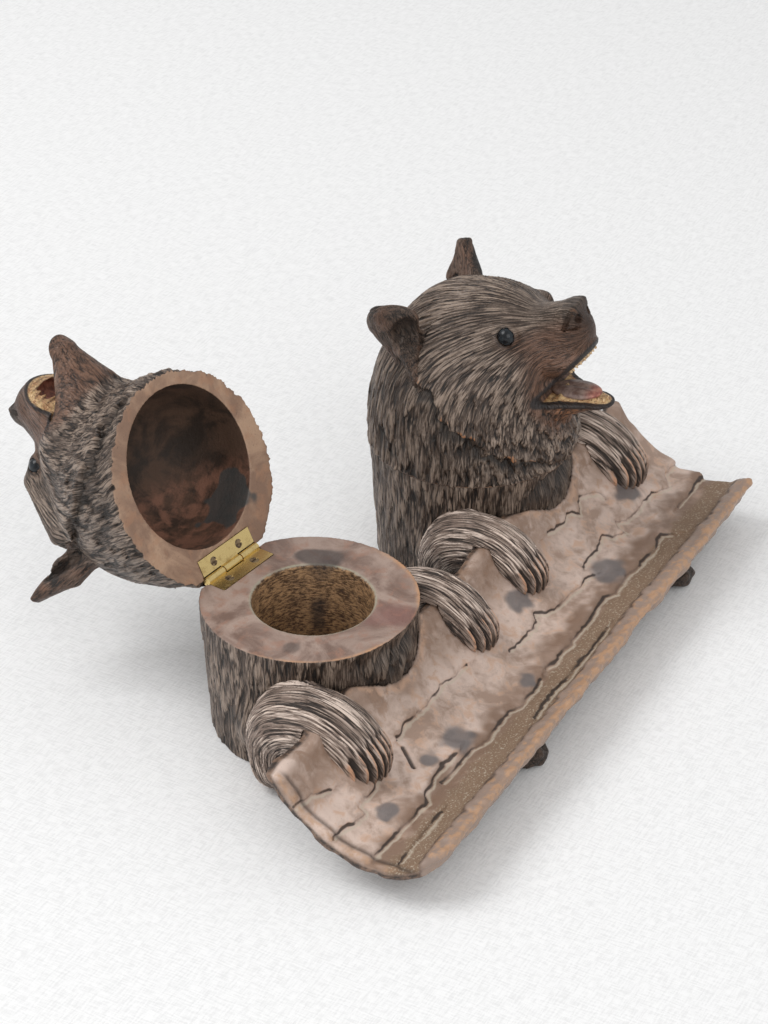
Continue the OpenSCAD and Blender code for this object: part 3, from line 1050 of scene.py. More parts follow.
@dataclass(frozen=True)
class EarShape:
    """An ear's outline: a round or pointed top on a stem that narrows downward."""

    top_r: float
    back: float = 2.2
    rise: float = 0.0
    peak: float = 0.0
    peak_r: float = 0.0
    lean: float = 0.0

    def plate(self, a: Array, b: Array) -> Array:
        """Distance outside the outline, from places back and up in the ear."""
        flat = np.zeros_like(b)
        top = (self.back, self.rise, 0.0)
        d = limb(a, b, flat, top, (self.back, self.rise - 16.8, 0.0), self.top_r, 3.2)
        if self.peak:
            tip = (self.back + self.lean, self.peak, 0.0)
            d = blend(d, limb(a, b, flat, top, tip, self.top_r - 0.5, self.peak_r), 1.0)
        return d


@dataclass
class Ears:
    """Two thick-rimmed cupped ears."""

    head: Head
    near: EarShape
    far: EarShape
    base: Point = (20.8, 10.0, 10.0)
    tip: Point = (28.0, 6.8, 30.2)
    tail: bool = True
    cell: float = 0.32

    def local(self, x: Array, ly: Array, lz: Array) -> tuple[Array, Array, Array]:
        """Back, up and outward places in an ear's own frame, from its middle."""
        up = Vector(self.tip) - Vector(self.base)
        mid = (Vector(self.tip) + Vector(self.base)) / 2
        up.normalize()
        back = Vector((0.22, 0.97, 0.0))
        back = (back - up * back.dot(up)).normalized()
        out = back.cross(up)
        p = (np.abs(x) - mid.x, ly - mid.y, lz - mid.z)
        return tuple(p[0] * v.x + p[1] * v.y + p[2] * v.z for v in (back, up, out))

    def hollow(self, a: Array, b: Array, c: Array) -> Array:
        """The cup cut into an ear."""
        wide = self.near.top_r - 3.6
        cup = egg(a, b, c, (1.2 - 0.5 * self.near.top_r, -1.4, 3.6), (wide, 6.0, 4.4))
        return blend(cup, egg(a, b, c, (-1.0, -8.0, 3.6), (2.4, 6.0, 3.2)), 1.0)

    def form(self, x: Array, y: Array, z: Array) -> Array:
        """Both ears in the bear's frame."""
        ly, lz = self.head.level(y, z)
        a, b, c = self.local(x, ly, lz)
        plate = np.where(x > 0, self.far.plate(a, b), self.near.plate(a, b))
        bend = c + 0.035 * a * a - 0.4
        thick = -blend(-plate, -(np.abs(bend) - 2.9), 2.6)
        cupped = carve(thick, self.hollow(a, b, c), 1.4)
        whole = (x > 0) & (self.far is not self.near)
        d = np.where(whole, thick, cupped)
        if self.tail:
            tail = limb(np.abs(x), ly, lz, (23.4, 9.4, 11.0), (27.9, 7.3, 2.6), 3.4, 1.5)
            d = np.where(whole, d, blend(d, tail, 2.0))
        head = self.head.form(x, y, z)
        joined = np.maximum(blend(d, head + 0.9, 3.0), d - 3.0)
        return np.maximum(joined, -(head + 1.6))

    def relief(self, x: Array, y: Array, z: Array) -> Array:
        """Fine grooves along the ear."""
        turn, along = self.head.flow(x, y, z)
        return 0.45 * (Tufts(80, 8.0, 21, 1.0, 0.2).read(turn, along)[0] - 0.5)

    def build(self) -> bpy.types.Object:
        """Carves the ears."""
        y0, z0 = own_frame(9.0, 18.0, self.head.tilt)
        block = Block((-37.0, y0 - 18, z0 - 19), (37.0, y0 + 18, z0 + 21), self.cell)
        points, quads = Carving(block, self.form, self.relief).mesh()
        x, y, z = (points[:, i].astype(np.float32) for i in range(3))
        ly, lz = self.head.level(y, z)
        a, b, c = self.local(x, ly, lz)
        turn, along = self.head.flow(x, y, z)
        height, tone = Tufts(80, 8.0, 21, 1.0, 0.2).read(turn, along)
        blot = GRAIN.read(x, y, z, 5.0)
        cup = self.hollow(a, b, c)
        within = ease(0.8, -0.6, cup)
        rise = ease(-6.0, 5.0, b)
        rim = (1 - within) * (np.abs(cup) < 3.0)
        marks = {
            "carve": height * (1 - 0.4 * within) * 0.8 + 0.1,
            "tone": tone * 0.7,
            "flow": np.stack([a * 1.2, c * 1.2, b * 0.22], 1),
            "red": np.clip(0.55 + 0.5 * blot, 0, 1) * (1 - 0.6 * within),
            "dark": 0.95 * within * ease(-7.0, -3.0, b) + 0.35 * ease(4.0, 8.0, b) + 0.3 * ease(-8.0, -14.0, b),
            "worn": np.clip(0.6 * rim * ease(4.0, 9.0, a) * rise + 0.9 * ease(10.5, 12.0, b), 0, 1),
        }
        side = self.head.side
        return as_object(f"{side.value}_carved_ears", Place(side).lid(points), quads, marks)


@dataclass
class Torso:
    """A furry bust with a flat seat face and a drilled well."""

    side: Side
    seed: int
    top_r: float = 34.8
    base_r: float = 31.8
    well_r: float = 19.0
    cell: float = 0.5

    def form(self, x: Array, y: Array, z: Array) -> Array:
        """The bust without its fur."""
        r = np.sqrt(x * x + (y - 1.2) ** 2)
        d = r - (self.base_r - 0.35 + (self.top_r - self.base_r) * z / SEAT_H)
        bulge = ball(np.abs(x), y, z, (29.5, -4.0, 17.0), 8.0)
        chest = bump(np.abs(x), 0, 15.0) * ease(5.0, -20.0, y)
        return blend(d, bulge, 7.0) + 2.4 * chest * bump(z, 41.0, 4.0)

    def fur(self, x: Array, y: Array, z: Array) -> tuple[Array, Array, Array]:
        """Relief in mm, its height from 0 to 1 and the tufts' tones."""
        turn = np.arctan2(x, y - 1.2) / (2 * math.pi) + 0.5
        wander = GRAIN.read(x, y, z, 12.0) * 0.008
        chest = bump(np.abs(x), 0, 17.0) * ease(5.0, -20.0, y)
        along = SEAT_H - z + 5.0 * np.cos(turn * 2 * math.pi) + 0.9 * x * chest
        big, tone = Tufts(52, 21.0, self.seed, 1.6, 0.28).read(turn + wander, along)
        small, tone2 = Tufts(90, 13.0, self.seed + 3, 1.0, 0.2).read(turn + wander, along)
        slant = turn + wander * 2 + 0.0016 * (z - 38.0) * chest
        chunky, tone3 = Tufts(30, 11.0, self.seed + 9, 1.2, 0.25).read(slant, along)
        height = (0.6 * big + 0.4 * small) * (1 - chest) + chunky * chest
        return (1.0 + 1.3 * chest) * (height - 0.55), height, tone * (1 - chest) * 0.6 + tone2 * 0.4 * (1 - chest) + tone3 * chest

    def relief(self, x: Array, y: Array, z: Array) -> Array:
        """Relief of the skin in mm."""
        relief = self.fur(x, y, z)[0]
        return relief * ease(45.6, 43.6, z) - 0.1

    def cuts(self, x: Array, y: Array, z: Array, skin: Array) -> Array:
        """Seat face, base, flat back, well and the hinge's room."""
        d = np.maximum(z - SEAT_H, -z)
        d = np.maximum(d, y - 31.6)
        r = np.sqrt(x * x + y * y)
        well = np.maximum(r - self.well_r, (SEAT_H - 40.0) - z)
        lip = r - self.well_r - 0.5 + 0.7 * np.clip(SEAT_H - z, 0, 3)
        d = np.maximum(d, -np.minimum(well, np.maximum(lip, SEAT_H - 1.0 - z)))
        room = np.maximum(np.abs(x) - 12.6, z - SEAT_H - 2.0)
        room = np.maximum(room, np.maximum(SEAT_H - 1.02 - z, HINGE_Y - 7.05 - y))
        d = np.maximum(d, -room)
        rod = np.maximum(np.sqrt((y - HINGE_Y) ** 2 + (z - HINGE_Z) ** 2) - 1.75, np.abs(x) - 12.85)
        return np.maximum(d, -rod)

    def build(self) -> bpy.types.Object:
        """Carves the bust."""
        block = Block((-41.17, -37.67, -1.57), (41.0, 34.0, 47.0), self.cell)
        points, quads = Carving(block, self.form, self.relief, self.cuts).mesh()
        x, y, z = (points[:, i].astype(np.float32) for i in range(3))
        _, height, tone = self.fur(x, y, z)
        a = np.arctan2(x, y - 1.2)
        blot = GRAIN.read(x, y, z, 10.0)
        r = np.sqrt(x * x + y * y)
        inner = (((r < self.well_r + 0.8) & (z > 5.0)) | (z > SEAT_H - 0.15)).astype(np.float32)
        chest = bump(np.abs(x), 0, 17.0) * ease(5.0, -20.0, y)
        marks = {
            "carve": height,
            "tone": tone,
            "flow": np.stack([30 * np.sin(a), 30 * np.cos(a), -z * 0.1], 1),
            "red": 0.25 * ease(0.2, 0.6, blot),
            # Painted shade on the chest just under the seat, where the head's ruff overhangs it.
            "dark": np.clip(0.62 * chest * ease(44.5, 41.0, z), 0, 1),
            "worn": np.clip(0.3 * ease(0.3, 0.8, GRAIN.read(x, y, z, 4.5)), 0, 1),
            "inner": inner,
            "bore": ((r < self.well_r + 0.25) & (z < SEAT_H - 0.3) & (z > 4.8)).astype(np.float32),
            "ring": bump(r, self.well_r + 0.45, 0.4) * (z > SEAT_H - 1.2),
            "edge": ease(2.0, 0.2, (self.top_r - 0.3) - np.sqrt(x * x + (y - 1.2) ** 2) + 1.2 * blot) * ease(6.0, -14.0, y),
            "stain": self.stain(x, y, z),
            "blush": self.blush(x, y, z),
        }
        return as_object(f"{self.side.value}_carved_torso", Place(self.side).stand(points), quads, marks)

    def stain(self, x: Array, y: Array, z: Array) -> Array:
        """Dark ink stains on the seat face."""
        blot = GRAIN.read(x, y, z, 6.0) * 2.2
        along, across = 0.59 * x - 0.81 * y, 0.81 * (x - 20.9) + 0.59 * (y - 11.7)
        back = np.sqrt(((along - 2.85) * 0.55) ** 2 + across**2) + blot
        front = np.sqrt((x + 24.3) ** 2 + (y + 9.3) ** 2) + blot
        return np.clip(0.8 * ease(5.6, 3.6, back) + 0.55 * ease(3.4, 1.4, front), 0, 1)

    def blush(self, x: Array, y: Array, z: Array) -> Array:
        """Purple-red stain on the seat face."""
        blot = GRAIN.read(x, y, z, 7.0) * 3.0
        return ease(10.0, 3.0, np.sqrt((x - 7.0) ** 2 + (y + 25.0) ** 2) + blot)


@dataclass
class Foreleg:
    """A foreleg that climbs the bust, bends over the tray's edge and ends in five claws."""

    side: Side
    out: int
    r: float
    seed: int
    leg_x: float = 37.3
    bend_y: float = -22.0
    bend_z: float = 14.5
    bend_r: float = 15.6
    bend_end: float = 46.0
    tip_l: float = 3.8
    cell: float = 0.36

    def path(self, x: Array, y: Array, z: Array) -> tuple[Array, Array, Array]:
        """Distance to the leg, mm along its bend, and its turn round the bend."""
        dy, dz = self.bend_y - y, z - self.bend_z
        rho = np.sqrt(dy * dy + dz * dz)
        angle = np.degrees(np.arctan2(dy, dz))
        end = math.radians(self.bend_end)
        bend = np.clip(np.where(angle > 150.0, -110.0, angle), -110.0, self.bend_end)
        turn = np.radians(bend)
        past = (dy - self.bend_r * math.sin(end)) * math.cos(end)
        past = past - (dz - self.bend_r * math.cos(end)) * math.sin(end)
        straight = np.clip(past, 0.0, self.tip_l)
        gy = y - (self.bend_y - self.bend_r * np.sin(turn) - straight * math.cos(end))
        gz = z - (self.bend_z + self.bend_r * np.cos(turn) - straight * math.sin(end))
        gx = x - self.out * (self.leg_x - 1.8 * ease(-20.0, -100.0, bend))
        radius = self.r + 0.9 - 2.2 * ease(-30.0, -105.0, bend) - 0.12 * straight
        d = np.sqrt(gx * gx + gy * gy + gz * gz) - radius
        lift = dy * math.sin(end) + dz * math.cos(end) - self.bend_r
        ahead = (past > 0.0) & (angle > 0.0) & (angle < 150.0)
        along = np.where(ahead, end * self.bend_r + past, np.radians(np.clip(angle, -140.0, 120.0)) * self.bend_r)
        return d, along, np.arctan2(gx * self.out, np.where(ahead, lift, rho - self.bend_r))

    def form(self, x: Array, y: Array, z: Array) -> Array:
        """The leg, faired into the bust."""
        d, _, _ = self.path(x, y, z)
        torso = Torso(self.side, 0).form(x, y, z)
        joined = blend(d, torso + 1.7, 6.0)
        return np.maximum(np.maximum(joined, d - 4.0), -(torso + 2.0))

    def fur(self, x: Array, y: Array, z: Array) -> tuple[Array, Array, Array]:
        """Relief in mm, its height from 0 to 1 and the tufts' tones."""
        _, along, turn = self.path(x, y, z)
        claw = self.claw(x)
        tip = self.tip(along)
        wander = GRAIN.read(x, y, z, 8.0) * 0.012
        round_ = turn / (2 * math.pi) + 0.5 + wander
        height, tone = Tufts(21, 30.0, self.seed, 2.2, 0.42).read(round_, along)
        fine = 0.5 + 0.5 * np.cos(2 * math.pi * 62 * round_ + 1.5 * GRAIN.read(x, y, z, 9.0))
        height = 0.62 * height + 0.38 * fine
        height = height * (1 - tip) + tip * claw**1.6
        return (0.85 + 0.75 * tip) * (height - 0.6), height, tone * (1 - tip) + 0.7 * tip

    def claw(self, x: Array) -> Array:
        """1 on the claws' crests and 0 in the grooves between them."""
        return 0.5 + 0.5 * np.cos(2 * math.pi * (x * self.out - self.leg_x) / 2.5)

    def tip(self, along: Array) -> Array:
        """1 on the claws and 0 on the fur."""
        return ease(12.0, 16.0, along)

    def relief(self, x: Array, y: Array, z: Array) -> Array:
        """Relief of the skin in mm, gone where the leg sinks into the bust."""
        clear = ease(3.0, 0.8, self.path(x, y, z)[0])
        return self.fur(x, y, z)[0] * clear - 0.9 * (1 - clear)

    def cuts(self, x: Array, y: Array, z: Array, skin: Array) -> Array:
        """The tray's hollow face, its back edge and the base."""
        rho = np.sqrt((y + 63.0) ** 2 + (z - 54.0) ** 2)
        under = np.maximum(40.0 - rho, y + 22.6)
        under = np.maximum(under, z - 34.0)
        return np.maximum(-z, -under)

    def build(self) -> bpy.types.Object:
        """Carves the leg."""
        s = self.out * self.leg_x
        block = Block((s - 14.6, -51.0, -1.0), (s + 14.6, 13.0, 47.0), self.cell)
        points, quads = Carving(block, self.form, self.relief, self.cuts, 2.2).mesh()
        x, y, z = (points[:, i].astype(np.float32) for i in range(3))
        _, height, tone = self.fur(x, y, z)
        _, along, turn = self.path(x, y, z)
        tip, claw = self.tip(along), self.claw(x)
        blot = GRAIN.read(x, y, z, 5.0)
        # low is where the leg lies on the tray, for painted shade.
        low = ease(6.0, -2.0, z - 17.0) * ease(-20.0, -30.0, y)
        marks = {
            "carve": height,
            "tone": tone,
            "flow": np.stack([12 * np.sin(turn), 12 * np.cos(turn), along * 0.1], 1),
            "red": 0.3 * ease(0.2, 0.7, blot) + 0.4 * tip,
            # Painted shade in the grooves between the claws and where the leg lies on the tray; the claws' ends are
            # dark paint.
            "dark": np.clip(0.85 * tip * (1 - claw) + 0.35 * low + 0.5 * tip * ease(20.0, 23.0, along), 0, 1),
            # On the claws' crests the worn colour is a painted highlight; the blotchy part is wear.
            "worn": np.clip(0.8 * tip * claw**4 + 0.25 * ease(0.3, 0.8, blot), 0, 1),
        }
        name = f"{self.side.value}_{'outer' if (self.out > 0) == (self.side is Side.RIGHT) else 'inner'}_carved_foreleg"
        place = Place(self.side)
        return as_object(name, place.straight(points), quads, marks)


class Tree:
    """A Geometry Nodes tree with named inputs that ends in real meshes of one material."""

    def __init__(self, name: str, sizes: Sequence[str]) -> None:
        """Starts the tree.

        Args:
            name: name of the tree.
            sizes: names of its lengths.
        """
        self.group = bpy.data.node_groups.new(name, "GeometryNodeTree")
        face = self.group.interface
        face.new_socket("Geometry", in_out="INPUT", socket_type="NodeSocketGeometry")
        for size in sizes:
            face.new_socket(size, in_out="INPUT", socket_type="NodeSocketFloat")
        face.new_socket("Seed", in_out="INPUT", socket_type="NodeSocketInt")
        face.new_socket("Finish", in_out="INPUT", socket_type="NodeSocketMaterial")
        face.new_socket("Geometry", in_out="OUTPUT", socket_type="NodeSocketGeometry")
        self.given = self.group.nodes.new("NodeGroupInput").outputs

    def node(self, kind: str, fixed: dict[str, Any], values: dict[str, Any]) -> Any:
        """Adds a node.

        Args:
            kind: type of the node.
            fixed: settings of the node.
            values: inputs by name, each a socket to link or a value to set.

        Returns:
            The new node.
        """
        node = self.group.nodes.new(kind)
        for key, value in fixed.items():
            setattr(node, key, value)
        for key, value in values.items():
            if isinstance(value, bpy.types.NodeSocket):
                self.group.links.new(value, node.inputs[key])
            else:
                node.inputs[key].default_value = value
        return node

    def finish(self, geometry: bpy.types.NodeSocket) -> None:
        """Ends the tree in real meshes with the given material."""
        real = self.node("GeometryNodeRealizeInstances", {}, {"Geometry": geometry}).outputs[0]
        values = {"Geometry": real, "Material": self.given["Finish"]}
        painted = self.node("GeometryNodeSetMaterial", {}, values).outputs[0]
        self.node("NodeGroupOutput", {}, {"Geometry": painted})

    def grow(self, name: str, guide: bpy.types.Object, values: dict[str, Any]) -> bpy.types.Object:
        """Runs the tree on a guide, which it uses up.

        Args:
            name: name of the piece.
            guide: object that the tree works on.
            values: the tree's inputs by name.

        Returns:
            The finished piece, a plain mesh.
        """
        modifier = guide.modifiers.new(name, "NODES")
        modifier.node_group = self.group
        for item in self.group.interface.items_tree:
            if item.in_out == "INPUT" and item.name in values:
                modifier[item.identifier] = values[item.name]
        ready = guide.evaluated_get(bpy.context.evaluated_depsgraph_get())
        mesh = bpy.data.meshes.new_from_object(ready)
        guide.modifiers.remove(modifier)
        bpy.data.objects.remove(guide)
        piece = bpy.data.objects.new(name, mesh)
        bpy.context.scene.collection.objects.link(piece)
        return piece


@dataclass
class Teeth:
    """Rows of small pegs along both gums of a head."""

    head: Head
    pitch: float = 1.75
    width: float = 0.62
    height: float = 1.7
    sunk: float = 0.7

    def row(self, height: float, turn: float, rise: float, inset: float, way: int) -> tuple[Array, Array]:
        """Places along one gum's crest.

        Args:
            height: height of the lip's plane at the mouth's corner.
            turn: angle of the plane in degrees, above 0 when it climbs toward the throat.
            rise: height of the gum.
            inset: distance in from the lips' skin.
            way: 1 for teeth that point up and -1 for teeth that point down.

        Returns:
            The places in the bear's frame, and the way that the teeth point.
        """
        slope = math.tan(math.radians(turn))
        t = math.radians(self.head.tilt)
        across = np.linspace(0.0, 14.0, 281)
        near: list[Point] = []
        for ly in np.arange(self.head.mouth.corner[0] - 4.0, -46.0, -0.6):
            lz = height + slope * (ly + 24.4)
            y, z = own_frame(ly, lz, self.head.tilt)
            flat = np.zeros_like(across)
            within = across[self.head.form(across, flat + y, flat + z) < -inset]
            if len(within):
                near.append((-float(within[-1]), y, z))
            elif near:
                break
        line = np.array(near + [(-x, y, z) for x, y, z in reversed(near)])
        up_y, up_z = -math.sin(math.radians(turn)) * way, math.cos(math.radians(turn)) * way
        up = np.array([0.0, up_y * math.cos(t) + up_z * math.sin(t), -up_y * math.sin(t) + up_z * math.cos(t)])
        return line + up * (rise - self.sunk), up

    def guide(self) -> bpy.types.Object:
        """Two open lines along the gums, which know the way that the teeth point."""
        mouth = self.head.mouth
        place = Place(self.head.side)
        points: list[Array] = []
        ways: list[Array] = []
        edges: list[tuple[int, int]] = []
        rows = (
            self.row(mouth.lower[0], mouth.lower[1], 0.6, mouth.lower_inset, 1),
            self.row(mouth.upper[0], -mouth.upper[1], 0.2, mouth.upper_inset, -1),
        )
        for line, up in rows:
            first = sum(len(p) for p in points)
            placed = place.lid(line)
            points.append(placed)
            ways.append(place.lid(line + up) - placed)
            edges.extend((first + i, first + i + 1) for i in range(len(line) - 1))
        name = f"{self.head.side.value}_gum_lines"
        mesh = bpy.data.meshes.new(name)
        mesh.from_pydata((np.concatenate(points) * MM).tolist(), edges, [])
        mark = mesh.attributes.new("way", "FLOAT_VECTOR", "POINT")
        mark.data.foreach_set("vector", np.concatenate(ways).astype(np.float32).ravel())
        guide = bpy.data.objects.new(name, mesh)
        bpy.context.scene.collection.objects.link(guide)
        return guide

    def tree(self) -> Tree:
        """The tree that sets blunt pegs along the lines."""
        tree = Tree("peg_row", ("Pitch", "Width", "Height"))
        given = tree.given
        line = tree.node("GeometryNodeMeshToCurve", {}, {"Mesh": given["Geometry"]}).outputs["Curve"]
        values = {"Curve": line, "Length": given["Pitch"]}
        line = tree.node("GeometryNodeResampleCurve", {"mode": "LENGTH"}, values).outputs["Curve"]
        blunt = tree.node("ShaderNodeMath", {"operation": "MULTIPLY"}, {0: given["Width"], 1: 0.55}).outputs[0]
        values = {"Vertices": 8, "Radius Top": blunt, "Radius Bottom": given["Width"], "Depth": given["Height"]}
        peg = tree.node("GeometryNodeMeshCone", {}, values).outputs["Mesh"]
        peg = tree.node("GeometryNodeSubdivisionSurface", {}, {"Mesh": peg, "Level": 2}).outputs["Mesh"]
        way = tree.node("GeometryNodeInputNamedAttribute", {"data_type": "FLOAT_VECTOR"}, {"Name": "way"})
        lean = tree.node("FunctionNodeAlignRotationToVector", {"axis": "Z"}, {"Vector": way.outputs["Attribute"]})
        values = {"Min": (0.8, 0.8, 0.75), "Max": (1.15, 1.15, 1.2), "Seed": given["Seed"]}
        size = tree.node("FunctionNodeRandomValue", {"data_type": "FLOAT_VECTOR"}, values).outputs[0]
        values = {"Points": line, "Instance": peg, "Rotation": lean.outputs["Rotation"], "Scale": size}
        pegs = tree.node("GeometryNodeInstanceOnPoints", {}, values).outputs["Instances"]
        tree.finish(pegs)
        return tree

    def build(self, finish: bpy.types.Material) -> bpy.types.Object:
        """Sets the teeth."""
        values = {
            "Pitch": self.pitch * MM,
            "Width": self.width * MM,
            "Height": self.height * MM,
            "Seed": self.head.seed,
            "Finish": finish,
        }
        return self.tree().grow(f"{self.head.side.value}_peg_teeth", self.guide(), values)


# Tray


@dataclass
class Tray:
    """The pen tray, carved as a curl of bark with cracks and a chipped lip."""

    left: float = -126.0
    right: float = 114.0
    top_r: float = 40.0
    thick: float = 5.0
    axis_y: float = -63.0
    axis_z: float = 54.0
    lip_y: float = -76.7
    corner_r: float = 16.0
    cell: float = 0.6
    cracks: tuple[Line, ...] = (
        ((113, -50), (104, -50), (100, -53.5), (92, -50), (83, -50.5), (73, -49.5), (69.5, -47.5), (68, -49), (67, -52.5), (64, -52.2), (59.5, -47.5), (54, -48.3), (47, -48.6), (40, -49)),
        ((74, -39.5), (74, -38.3), (70.5, -36.2), (64.5, -35.6), (60.5, -38.4), (57, -36.7), (48, -36.1), (41, -35.7)),
        ((112.5, -60.4), (105, -59.8), (99, -60.2), (92.5, -59.7)),
        ((75, -65.2), (73, -63), (67, -63.4), (61, -64.2), (55, -63.8), (46.5, -62.4), (39, -62.7), (34.5, -63.8), (30.5, -60.8), (24.5, -61.7), (17.5, -62.9), (9, -63.4), (-1, -62.4), (-8, -62.5), (-13.5, -62.1)),
        ((39, -53.6), (33.5, -52.6), (26, -52.5), (17, -51.8), (10, -49.6), (7.5, -47.5), (5.5, -50), (0.5, -50.3), (-6, -49.3), (-14, -48.9)),
        ((-20.5, -62.4), (-28.5, -63.4), (-36, -62.9), (-43, -61.6), (-51, -61.8), (-58, -61.9), (-64, -60), (-70, -59.3), (-77.5, -60), (-81, -59.8)),
        ((-68.5, -56.5), (-75, -56.6), (-79, -57.1), (-87.5, -57.9), (-92, -60.5), (-101.5, -59.6), (-109, -58.6), (-121.5, -58.7)),
        ((-95.5, -65.8), (-103.5, -65.7), (-112.5, -65.2), (-121.5, -66)),
        ((-31, -42.3), (-39, -42), (-47, -41.1), (-52.5, -40.9), (-57.5, -41.8), (-63, -40.7), (-69, -40.9), (-76.5, -41.1)),
        ((-93.5, -45.3), (-97.5, -45.9), (-108, -45.4), (-108.5, -47.7), (-114, -47.8), (-119, -46.4), (-124, -45.8)),
        ((-111.5, -37.3), (-118, -35.6), (-125, -34.9)),
        ((14.5, -69.3), (-5.3, -70.1), (-18.6, -70.5), (-27.2, -69.8), (-38, -69.7)),
    )
    slit: Line = ((-77.8, -43.8), (-82.2, -49.6))
    spots: tuple[Point, ...] = ((-62, -54, 6.5), (-76.5, -51.2, 3.6), (43, -56, 7.0), (-24, -58.5, 3.6), (-104, -52, 3.2), (8, -41, 5.0), (84, -44, 5.0))

    def __post_init__(self) -> None:
        """Works out the drawn lines round the curved face."""
        self.rolled = [[(x, self.arc(y)) for x, y in line] for line in self.cracks]
        self.rolled_slit = [(x, self.arc(y)) for x, y in self.slit]

    def arc(self, y: float) -> float:
        """Distance round the hollow face of a place seen from above."""
        return self.top_r * math.asin(max(-0.95, min(0.95, (y - self.axis_y) / self.top_r)))

    def wrap(self, y: Array, z: Array) -> tuple[Array, Array]:
        """Radius from the curl's axis, and distance round its face."""
        dy, dz = y - self.axis_y, z - self.axis_z
        return np.sqrt(dy * dy + dz * dz), self.top_r * np.arctan2(dy, -dz)

    def outline(self, x: Array, y: Array) -> Array:
        """Distance outside the tray's outline seen from above, with its chipped lip."""
        d = np.maximum(np.maximum(self.left - x, x - self.right), self.lip_y - y)
        cx, cy = self.left + self.corner_r, self.lip_y + self.corner_r
        corner = np.sqrt(np.minimum(x - cx, 0) ** 2 + np.minimum(y - cy, 0) ** 2) - self.corner_r
        return np.maximum(d, corner)

    def form(self, x: Array, y: Array, z: Array) -> Array:
        """The curled sheet."""
        rho, _ = self.wrap(y, z)
        mid = self.top_r + self.thick / 2
        sheet = np.abs(rho - mid) - self.thick / 2
        wobble = 0.7 * np.sin(x * 0.21) + 0.5 * np.sin(x * 0.53 + 1.0) + 0.35 * np.sin(x * 1.13)
        edge = np.maximum(self.outline(x, y + 0.35 * np.clip(wobble, -1, 2)), z - 34.0 - 0.5 * np.sin(x * 0.3))
        return carve(sheet, -edge, 2.0)

    def face(self, x: Array, a: Array, y: Array, z: Array) -> tuple[Array, Array, Array]:
        """Relief of the hollow face in mm, its cracks and its dust from 0 to 1."""
        wx = x + 1.2 * GRAIN.read(x, a, x * 0, 5.0) + 0.5 * GRAIN.read(x, a, x * 0 + 9, 1.7)
        wa = a + 0.9 * GRAIN.read(x, a, x * 0 + 4, 5.0) + 0.5 * GRAIN.read(x, a, x * 0 + 7, 1.6)
        height = 0.55 * GRAIN.read(x, a, x * 0 + 2, 24.0) + 0.28 * GRAIN.read(x, a, x * 0 + 5, 9.0)
        cracks = np.zeros(x.shape, np.float32)
        dust = np.zeros(x.shape, np.float32)
        for n, line in enumerate(self.rolled):
            d, side = reach_of(line, wx, wa)
            wide = 1.5 + 0.5 * GRAIN.read(x, a, x * 0 + n, 6.0)
            groove = np.exp(-((d / wide) ** 2))
            sharp = np.exp(-(((d * side - 0.75) / 0.42) ** 2))
            fade = ease(9.0, 1.0, d)
            height = height - 0.9 * groove - 0.35 * sharp + 0.6 * side * fade * ease(0.2, 1.2, d)
            cracks = np.maximum(cracks, sharp * (0.45 + 0.55 * ease(-0.35, 0.2, GRAIN.read(x, a, x * 0 + 20 + n, 7.0))))
            dust = np.maximum(dust, np.exp(-(((d * side + 0.3) / 0.6) ** 2)))
        d, _ = reach_of(self.rolled_slit, x, a)
        height = height - 1.6 * np.exp(-((d / 0.7) ** 2))
        cracks = np.maximum(cracks, np.exp(-((d / 0.8) ** 2)))
        strip = bump(a, self.arc(-31.5), 3.2)
        height = height + strip * 0.5 * GRAIN.read(x * 2, a, x * 0 + 3, 4.0)
        chips = GRAIN.read(x, a, x * 0 + 11, 4.5) + 0.6 * GRAIN.read(x, a, x * 0 + 12, 2.0)
        rim = ease(self.arc(-71.6), self.arc(-73.6), a + 0.9 * chips)
        height = height + 1.5 * ease(self.arc(-69.5), self.arc(-74.0), a) - rim * (0.1 + 0.5 * chips)
        end = self.left + 3.2
        height = height - 0.7 * bump(x - 0.0 * a, end, 0.9) * ease(self.arc(-73), self.arc(-68), a)
        return height, cracks, dust

    def relief(self, x: Array, y: Array, z: Array) -> Array:
        """Relief of the skin in mm."""
        rho, a = self.wrap(y, z)
        height, _, _ = self.face(x, a, y, z)
        inside = ease(self.top_r + 2.0, self.top_r + 0.8, rho)
        bark = 0.5 * GRAIN.read(x * 0.4, a, rho * 0, 3.0) + 0.4 * GRAIN.read(x, a, rho * 0 + 2, 7.0)
        return height * inside + bark * (1 - inside) * 0.9

    def cuts(self, x: Array, y: Array, z: Array, skin: Array) -> Array:
        """The bodies let into the tray's back, and the box that the tray keeps to."""
        d = np.maximum(self.left - x, x - self.right)
        for place in (-WELL_SPACING / 2, WELL_SPACING / 2):
            cone = np.sqrt((x - place) ** 2 + (y - 1.2) ** 2) - (31.5 + 3.0 * z / SEAT_H)
            d = np.maximum(d, -cone)
        return d

